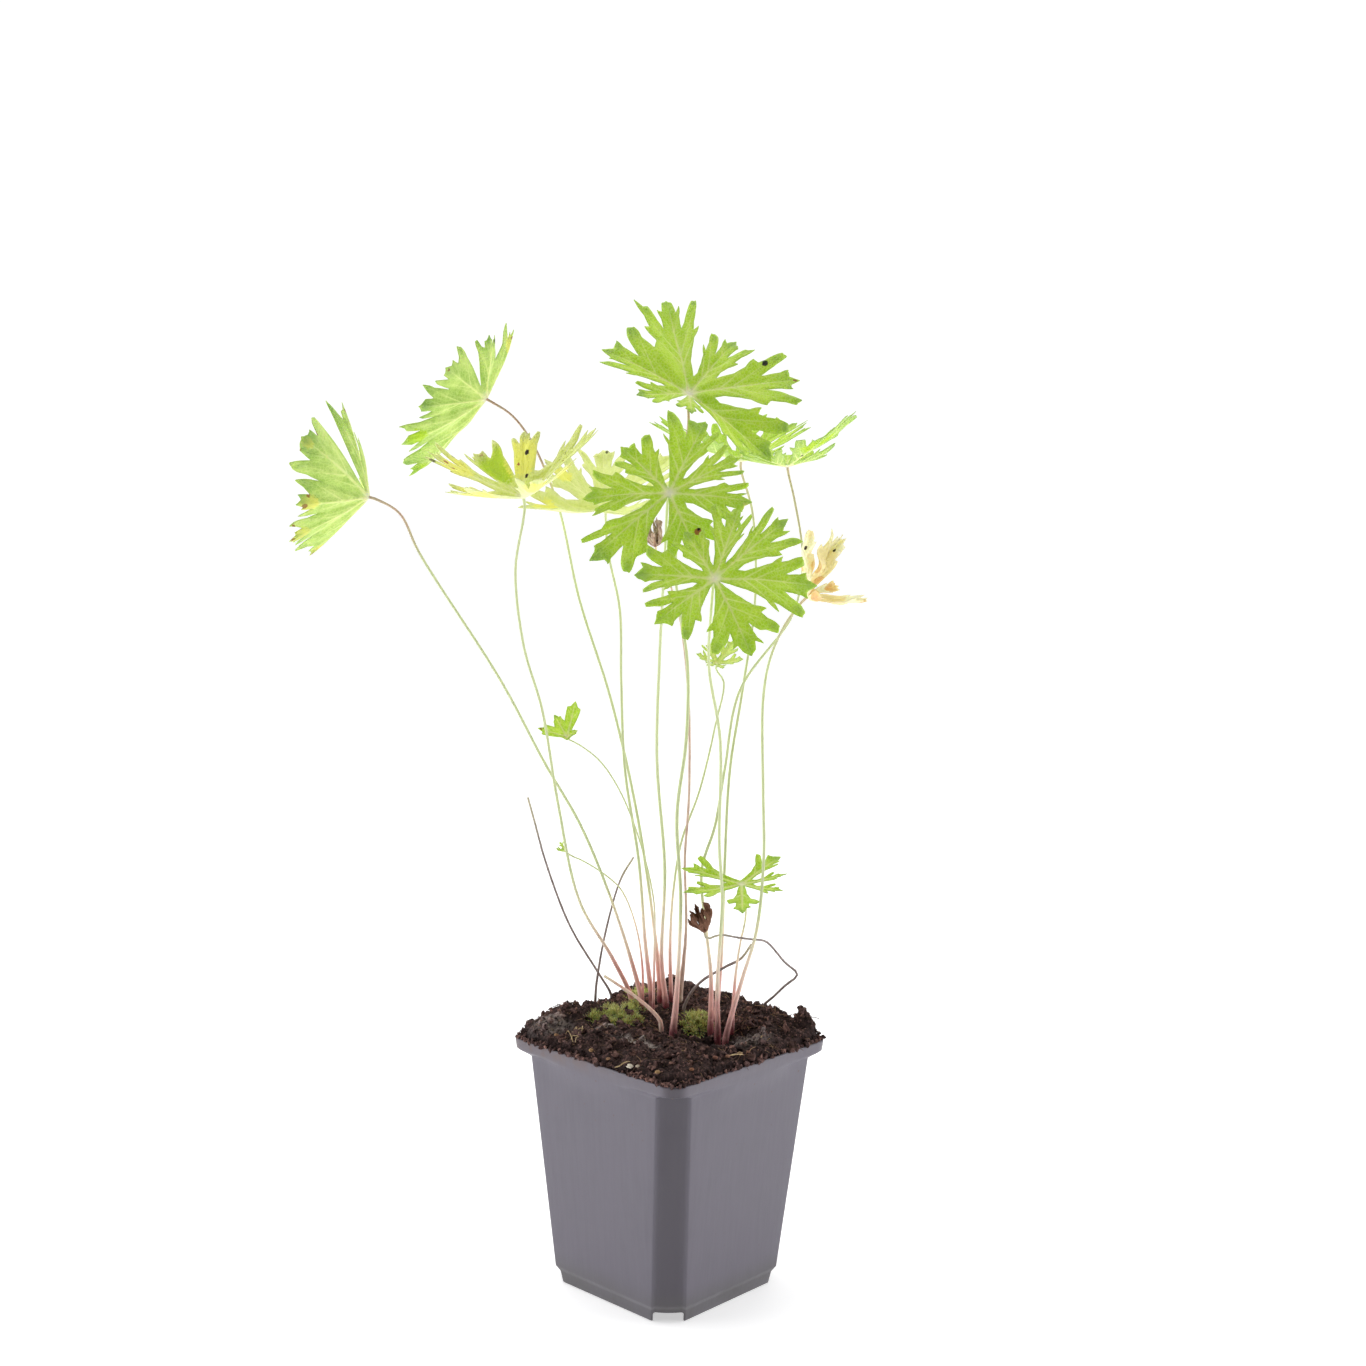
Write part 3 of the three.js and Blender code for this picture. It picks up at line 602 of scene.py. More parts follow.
def buildPot():
    wall, top, foot, base, lag = pot["wall"], pot["height"], pot["footEdge"], pot["base"], pot["lag"]
    low, flare, inner = pot["flareLow"], pot["flareTop"] - pot["flareLow"], base + pot["baseThick"]
    # each level: height, inset and lag
    levels = [(base, 9), (base, wall + 0.5), (base - 0.5, wall), (0.2, wall), (0, wall - 0.2), (0, foot)]
    levels.append((0.12, 0.12))
    outside = [foot, 2, 4.3, 4.8, 5.3, 6.4, 7, 7.5, 9, 12, 20, 30, 40, 50, 60, 70, 78, 84, 86, 88, 89.5, 91]
    levels += [(z, 0) for z in outside + [low + flare * k / 8 for k in range(9)] + [95, 96.3]]
    for k in range(9):
        a = math.pi * k / 8
        levels.append((top - wall / 2 + wall / 2 * math.sin(a), wall / 2 * (1 - math.cos(a)), lag * (k > 4)))
    inside = [96] + [low + lag + flare * k / 6 for k in range(6, -1, -1)]
    inside += [91, 89, 87, 85, 70, 50, 30, 12, 7, inner]
    levels += [(z, wall, lag) for z in inside] + [(inner, wall + 8)]
    rings = [potLevel(*level) for level in levels]
    points, faces = skin(rings)
    piece = meshObject("potShell", points, faces, potMaterial())
    last = len(points) - 2  # the middles of the two ends have no strip
    around = len(rings[0])
    # mask of the painted shade on the corner strips, fading out at the top of the rim
    strip = [stripShare(k % around) * (1 - smoothStep(p[2], 97.2, 98.6)) for k, p in enumerate(points)]
    storeValues(piece, strip=[s * (k < last) for k, s in enumerate(strip)])
    cutters = potCutters()
    for cutter in cutters:
        cut = piece.modifiers.new(cutter.name, "BOOLEAN")
        cut.operation, cut.solver, cut.object = "DIFFERENCE", "EXACT", cutter
    piece = plainMesh(piece, "pot_plastic")
    for cutter in cutters:
        bpy.data.objects.remove(cutter)
    piece.data.polygons.foreach_set("use_smooth", [True] * len(piece.data.polygons))
    piece.data.set_sharp_from_angle(angle=math.radians(38))
    place(piece, "pot", "pot")
    print("pot", len(piece.data.polygons), "faces")


buildPot()

# ---- soil

soil = {
    "rimSide": 90, "rimZ": 98.3, "edgeZ": 99.6, "crown": 4.4, "backRise": 3.6,
    "topSide": 87.6, "cornerRadius": 9.5,
    # x, y, height and radius of the larger lumps
    "lumps": [
        (-41, 8, 4.2, 8), (-51, -3, 2.6, 5), (53, 2, 5.2, 4.5), (25, 30, 2.8, 9), (6, 47, 3, 8),
        (-12, 42, 2.4, 9), (40, 13, 2.6, 8), (-30, -14, 1.2, 8), (6, -40, 0.8, 8), (32, -16, 1, 8),
        (0, -9, -3.8, 9), (19, -10, -3.8, 9),
    ],
    # sunk round the feet of the stalks
    "hollows": [(19, -15, 4.6, 9.5), (1.5, -10, 2.4, 6), (-11, 12, 1.6, 6)],
    # grey patches: x, y, half length, half width, turn, strength
    "dusty": [(-25, -8, 6.5, 2.4, 0, 0.8), (-13.5, -23, 13, 3.6, -36, 1.0), (28, -16, 14, 9, 0, 0.36),
              (-46, -4, 11, 8, 0, 0.42)],
    "grid": 220, "clods": 2.6, "crumbs": 1.7, "dust": 0.6,
    "dark": (36, 24, 24), "brown": (154, 119, 114), "warm": (166, 126, 116), "grey": (206, 192, 188),
    # count per square millimetre, smallest, largest and how finely each lump is made
    "strewn": {"soil_crumbs": (0.42, 0.5, 1.9, 1), "soil_clods": (0.05, 1.4, 3.6, 2),
               "soil_spill": (1.5, 0.6, 2.5, 2)},
    "fibreCount": 0.045, "fibreLength": 0.0055, "fibreRadius": 0.00013, "fibreTilt": 0.4, "seed": 11,
}


def soilTop(x, y):
    spread = (abs(x) + abs(y)) / (soil["rimSide"] / math.sqrt(2))
    inside = math.sqrt(max(0, 1 - spread * spread))
    z = soil["edgeZ"] + (soil["crown"] + soil["backRise"] * smoothStep(y, -14, 26)) * inside
    for lx, ly, h, r in soil["lumps"]:
        z += h * math.exp(-((x - lx) ** 2 + (y - ly) ** 2) / (r * r))
    return z


def soilSurface(x, y):
    # the heap with its clods and crumbs
    z = soilTop(x, y)
    for hx, hy, deep, r in soil["hollows"]:
        z -= deep * math.exp(-((x - hx) ** 2 + (y - hy) ** 2) / (r * r))
    lump = noise.noise(Vector((x / 4.6, y / 4.6, 3.1)))
    z += soil["clods"] * (lump + 0.5 * abs(lump)) * (1 - smoothStep((abs(x) + abs(y)) / 62, 0.86, 1.0))
    z += soil["crumbs"] * (0.42 - noise.voronoi(Vector((x / 3.4, y / 3.4, 0.4)))[0][0])
    z += soil["dust"] * (0.42 - noise.voronoi(Vector((x / 1.5, y / 1.5, 2.7)))[0][0])
    return z + 0.25 * noise.noise(Vector((x * 1.6, y * 1.6, 1.0)))


def soilMaterial():
    material, tree, shader = startMaterial("peat", Roughness=0.95, Specular_IOR_Level=0.25)
    where = objectPlace(tree)
    broad, fine = mottle(where, 0.12, 0.2), mottle(where, 0.8, 0.2)
    tone = attribute(tree, "tone")
    colour = mix(times(fine, 0.75), soil["dark"], soil["brown"])
    colour = mix(times(broad, 0.35), colour, soil["dark"])
    colour = mix(remap(tone, 0.25, 0, 0, 0.65), colour, soil["dark"])
    colour = mix(remap(tone, 0.66, 1, 0, 0.8), colour, soil["warm"])
    # painted shade: darker where the surface lies below the heap's top, in hollows and crevices, and all down
    # the skirt inside the pot
    colour = mix(remap(attribute(tree, "sunk"), 0, 1, 0, 0.8), colour, soil["dark"])
    colour = mix(times(flecksAt(where, 0.7, 0.3), 0.55), colour, soil["warm"])
    for x, y, long, wide, turn, most in soil["dusty"]:
        near = addNode(tree, "ShaderNodeMapping", {
            "Vector": where, "Location": (x, y, 0), "Rotation": (0, 0, math.radians(turn)),
            "Scale": (long, wide, 1e6)}, vector_type="TEXTURE").outputs[0]
        gap = addNode(tree, "ShaderNodeVectorMath", {0: near}, operation="LENGTH").outputs["Value"]
        pale = times(remap(gap, 0.25, 1, most, 0), remap(fine, 0.1, 0.6, 0.2, 1))
        colour = mix(pale, colour, soil["grey"])
    finishMaterial(shader, colour, grainAt(where, 1.8), 0.0005, 0.9)
    return material


def bedPoint(s, t):
    # from a square to the mouth of the pot, its corners pulled in to a round
    half, corner = soil["topSide"] / 2, soil["cornerRadius"]
    far, limit = max(abs(s), abs(t)), 1 - corner / half
    if far > 0:
        u, v = abs(s) / far, abs(t) / far
        if min(u, v) > limit:
            grip = corner / max(1e-6, math.hypot((u - limit) * half, (v - limit) * half))
            pull = math.hypot(limit + (u - limit) * grip, limit + (v - limit) * grip) / math.hypot(u, v)
            s, t = s * min(1, pull), t * min(1, pull)
    x, y = (s - t) * half * math.sqrt(0.5), (s + t) * half * math.sqrt(0.5)
    edge = smoothStep(far, 0.955, 1.0)
    return x, y, soilSurface(x, y) * (1 - edge) + (soil["rimZ"] + 0.1) * edge


def buildSoilBed(material):
    n = soil["grid"]
    points = [bedPoint(2 * i / n - 1, 2 * j / n - 1) for j in range(n + 1) for i in range(n + 1)]
    at = lambda i, j: j * (n + 1) + i
    faces = [(at(i, j), at(i + 1, j), at(i + 1, j + 1), at(i, j + 1)) for j in range(n) for i in range(n)]
    loop = [at(i, 0) for i in range(n)] + [at(n, j) for j in range(n)]
    loop += [at(i, n) for i in range(n, 0, -1)] + [at(0, j) for j in range(n, 0, -1)]
    # skirt down the inside of the pot
    last, m = loop, len(loop)
    skirt = [(0.985, 98.15), (0.972, 97.6), (0.965, 95.9)]
    skirt += [(1, z) for z in (94.9, 94.3, 93.8, 93.3, 92.8, 91, 89, 86, 60, 30, 7.2, 6.3)]
    angles = [math.atan2(points[k][1], points[k][0]) for k in loop]
    for share, z in skirt:
        start = len(points)
        for k, limit in zip(loop, reachOf(potLevel(z, pot["wall"] + 0.35, pot["lag"]), angles)):
            x, y, _ = points[k]
            keep = min(share, limit / math.hypot(x, y))
            points.append((x * keep, y * keep, z))
        fresh = list(range(start, len(points)))
        faces += [(last[(k + 1) % m], last[k], fresh[k], fresh[(k + 1) % m]) for k in range(m)]
        last = fresh
    faces += [(last[(k + 1) % m], last[k], len(points)) for k in range(m)]
    points.append((0, 0, skirt[-1][1]))
    piece = meshObject("soil_bed", points, faces, material)
    reach = 44 * math.sqrt(2) * 0.985
    onTop = [z > 97.9 for x, y, z in points]
    bed = [float(top and abs(x) + abs(y) < reach) for (x, y, z), top in zip(points, onTop)]
    # how deep each point lies under the heap's top, 1 on the skirt: the mask of the painted shade in the
    # hollows
    sunk = [min(1, max(0, (soilTop(*p[:2]) - p[2]) * 0.8)) if top else 1.0 for p, top in zip(points, onTop)]
    storeValues(piece, bed=bed, sunk=sunk)
    return piece


def crumbTree():
    # lumps of five shapes strewn over the surface it is given
    tree, given, out = newShapeTree("strewCrumbs", [
        ("Density", "Float", 1.0), ("Smallest", "Float", 0.5), ("Largest", "Float", 1.5),
        ("Faces level", "Int", 1)])
    seed = given["Seed"]
    spots = spotsOn(given[0], times(named(tree, "bed"), given["Density"]), seed)[0]
    lumps = []
    for k in range(5):
        ball = shapeNode(tree, "MeshIcoSphere", {"Radius": 0.5, "Subdivisions": given["Faces level"]})
        rough = addNode(tree, "ShaderNodeTexNoise", {
            "Vector": shapeNode(tree, "InputPosition"), "W": k * 3.7, "Scale": 1.7, "Detail": 2},
            noise_dimensions="4D", normalize=False)
        shift = vector("MULTIPLY", rough.outputs["Color"], (0.62, 0.62, 0.5))
        shaped = shapeNode(tree, "SetPosition", {0: ball, "Offset": shift})
        lumps.append(shapeNode(tree, "GeometryToInstance", {0: shaped}))
    turn = rotation(anyOf((0, 0, 0), (6.28, 6.28, 6.28), seed, 1))
    size = calc("POWER", anyOf(0.0, 1.0, seed, 2), 2.2)
    size = times(size, calc("SUBTRACT", given["Largest"], given["Smallest"]))
    size = times(plus(size, given["Smallest"]), mm)
    stretch = vector("SCALE", anyOf((0.7, 0.6, 0.45), (1.35, 1.2, 0.95), seed, 3), size)
    strewn = plant(spots, joinShapes(tree, lumps), turn, stretch, True)
    return finishTree(tree, tagged(strewn, "tone", anyOf(0.0, 1.0, seed, 4), "INSTANCE"), given, out)


def fibreTree():
    # short bent threads lying on the surface it is given
    tree, given, out = newShapeTree("layFibres", [
        ("Density", "Float", 1.0), ("Length", "Float", 0.006), ("Thickness", "Float", 0.00012),
        ("Tilt", "Float", 0.35)])
    seed, tilt, length = given["Seed"], given["Tilt"], given["Length"]
    spots = spotsOn(given[0], times(named(tree, "bed"), given["Density"]), seed)[0]
    ring = shapeNode(tree, "CurvePrimitiveCircle", {"Resolution": 4, "Radius": 1.0})
    threads = []
    for bend in ((0.1, 0.25, 0.12), (-0.2, 0.16, 0.2), (0.0, -0.3, 0.05)):
        bow = shapeNode(tree, "CurveQuadraticBezier", {
            "Resolution": 5, "Start": (-0.5, 0, -0.02), "Middle": bend, "End": (0.5, 0, 0.02)})
        bow = shapeNode(tree, "Transform", {0: bow, "Scale": joinedUp(tree, length, length, length)})
        inputs = {0: bow, 1: ring, "Scale": given["Thickness"], "Fill Caps": True}
        tube = shapeNode(tree, "CurveToMesh", inputs)
        threads.append(shapeNode(tree, "GeometryToInstance", {0: tube}))
    spin = anyOf(0.0, 6.28, seed, 1)
    lean, roll = (times(anyOf(-1.0, 1.0, seed, step), tilt) for step in (2, 3))
    scale = anyOf((0.5, 0.5, 0.5), (1.4, 1.0, 1.0), seed, 4)
    laid = plant(spots, joinShapes(tree, threads), rotation(joinedUp(tree, roll, lean, spin)), scale, True)
    return finishTree(tree, tagged(laid, "tone", anyOf(0.0, 1.0, seed, 5), "INSTANCE"), given, out)


def fibreMaterial():
    material, tree, shader = startMaterial("rootFibre", Roughness=0.8)
    where = objectPlace(tree)
    colour = mix(remap(attribute(tree, "tone"), 0.3, 1.0), (70, 46, 36), (176, 140, 104))
    colour = mix(times(mottle(where, 0.5, 0.25), 0.4), colour, (88, 62, 48))
    finishMaterial(shader, colour, grainAt(where, 4), 0.0001, 0.5)
    return material


def edgeBed():
    # a narrow band along the rim that crumbs have spilled on, most of them at the front left
    outer, inner = potLevel(pot["height"], 0.1), potLevel(pot["height"], 3.2)
    count, fine = len(outer), 6
    points, amount = [], []
    for k in range(count * fine):
        a, t = k // fine, k % fine / fine
        for ring, lift in ((outer, 0.3), (inner, 0.9)):
            p = Vector(ring[a]).lerp(Vector(ring[(a + 1) % count]), t)
            patch = 0.75 + 1.1 * noise.noise(Vector((p.x / 7, p.y / 7, 5)))
            side = 0.55 if p.y >= 0 else 1.0 if p.x < 8 else 0.5
            points.append((p.x, p.y, p.z + lift))
            amount.append(min(1, max(0, patch)) * side)
    n = count * fine
    faces = [(2 * k, 2 * ((k + 1) % n), 2 * ((k + 1) % n) + 1, 2 * k + 1) for k in range(n)]
    piece = meshObject("spill", points, faces)
    storeValues(piece, bed=amount)
    return piece


def buildSoil():
    material = soilMaterial()
    bed = buildSoilBed(material)
    copy = lambda: addObject("bed", bed.data.copy())
    tree, pieces = crumbTree(), [bed]
    for step, (name, (count, low, high, level)) in enumerate(soil["strewn"].items()):
        pieces.append(grow(edgeBed() if name == "soil_spill" else copy(), tree, name, {
            "Density": count * perSquareMetre, "Smallest": low, "Largest": high, "Faces level": level,
            "Seed": soil["seed"] + step, "Material": material}))
    pieces.append(grow(copy(), fibreTree(), "soil_fibres", {
        "Density": soil["fibreCount"] * perSquareMetre, "Length": soil["fibreLength"],
        "Thickness": soil["fibreRadius"], "Tilt": soil["fibreTilt"], "Seed": soil["seed"] + 3,
        "Material": fibreMaterial()}))
    for piece in pieces:
        place(piece, "peat", *(["soil"] if piece is bed else []))
        print(piece.name, len(piece.data.polygons), "faces")


buildSoil()

# ---- moss

moss = {
    # middle x and y, half width and depth, height, seed
    "cushions": [(-22, 5.5, 9.6, 8.6, 1.5, 21), (9.6, 0.5, 6.0, 6.4, 0.9, 22), (-12, 30, 7.0, 4.6, 1.4, 23),
                 (-15, 13.5, 5.0, 3.6, 1.2, 27)],
    "light": (244, 252, 156), "deep": (112, 126, 52), "patch": (112, 110, 54), "tips": (250, 250, 196),
    "shoots": 0.95, "shootLength": 2.0, "seed": 4, "rings": 7, "around": 28,
}


def mossMaterial():
    material, tree, shader = startMaterial(
        "moss", Roughness=0.75, Subsurface_Weight=0.15, Subsurface_Scale=0.001)
    where = objectPlace(tree)
    tip = attribute(tree, "tip")
    colour = mix(tip, moss["deep"], moss["light"])
    colour = mix(times(mottle(where, 0.22, 0.22), 0.45), colour, moss["patch"])
    colour = mix(times(remap(attribute(tree, "tone"), 0.35, 1, 0, 0.75), tip), colour, moss["tips"])
    finishMaterial(shader, colour, grainAt(where, 2.5), 0.0003)
    return material


def mossTree():
    # leafy shoots standing all over a cushion
    tree, given, out = newShapeTree("plantMoss", [("Density", "Float", 1.0), ("Length", "Float", 0.0012)])
    seed = given["Seed"]
    spots = spotsOn(given[0], given["Density"], seed)
    leaflets = []
    for k in range(7):
        outer = k < 5  # five lean out and two stand up
        leaflet = tagged(spike(tree, 0.2), "tip", parts(shapeNode(tree, "InputPosition"))["Z"])
        leaflets.append(shapeNode(tree, "Transform", {
            0: leaflet, "Rotation": (0.75 if outer else 0.25, 0.0, k * 1.2566),
            "Scale": (1, 0.45, 1) if outer else (0.8, 0.5, 1.25)}))
    stood = upright(spots, joinShapes(tree, leaflets), 0.55, (0.55, 1.3), given["Length"], seed)
    toned = tagged(stood, "tone", anyOf(0.0, 1.0, seed, 3), "INSTANCE")
    return finishTree(tree, joinShapes(tree, [given[0], toned]), given, out)


def cushion(cx, cy, rx, ry, high, seed):
    points, faces, rings, around = [], [], moss["rings"], moss["around"]
    for k in range(rings + 1):
        share = k / rings
        for i in range(around if k else 1):
            a = 2 * math.pi * i / around
            wave = 1 + 0.8 * noise.noise(Vector((math.cos(a) * 1.9, math.sin(a) * 1.9, seed)))
            x, y = cx + rx * share * wave * math.cos(a), cy + ry * share * wave * math.sin(a)
            dome = high * math.sqrt(max(0, 1 - share ** 2.2)) - 0.9 * share
            dome += 1.3 * noise.noise(Vector((x / 2.6, y / 2.6, seed)))
            points.append((x, y, soilTop(x, y) + dome - 0.4))
    for i in range(around):
        faces.append((0, 1 + i, 1 + (i + 1) % around))
        for k in range(rings - 1):
            a, b = 1 + k * around + i, 1 + k * around + (i + 1) % around
            faces.append((a, a + around, b + around, b))
    last = 1 + (rings - 1) * around
    faces += [(last + (i + 1) % around, last + i, len(points)) for i in range(around)]
    return meshObject("cushion", points + [(cx, cy, soilTop(cx, cy) - 2.5)], faces)


def buildMoss():
    material, tree = mossMaterial(), mossTree()
    for index, row in enumerate(moss["cushions"]):
        piece = grow(cushion(*row), tree, f"moss_{index + 1}", {
            "Density": moss["shoots"] * perSquareMetre, "Length": moss["shootLength"] * mm,
            "Seed": moss["seed"] + row[-1], "Material": material})
        place(piece, "leaf")
        print(piece.name, len(piece.data.polygons), "faces")


buildMoss()

# ---- stalks

stalks = {
    "rootDepth": 12, "sides": 12, "step": 2.2, "tipGap": 0.2, "neck": 3.2,
    "hairs": 0.5, "hairLength": 0.8, "seed": 31,
    "slim": 0.88, "upper": 0.76,  # thickness at the foot and above, beside the solid's
    "deep": (120, 40, 52), "pink": (250, 196, 186), "cream": (255, 236, 214), "green": (206, 216, 166),
    "blush": (196, 132, 136), "hair": (240, 240, 226),
    # light and dark of the stalks that are past their best
    "old": {"old": ((252, 230, 212), (240, 184, 170)), "dead": ((178, 164, 158), (118, 102, 100)),
            "dry": ((236, 214, 194), (200, 166, 152))},
}

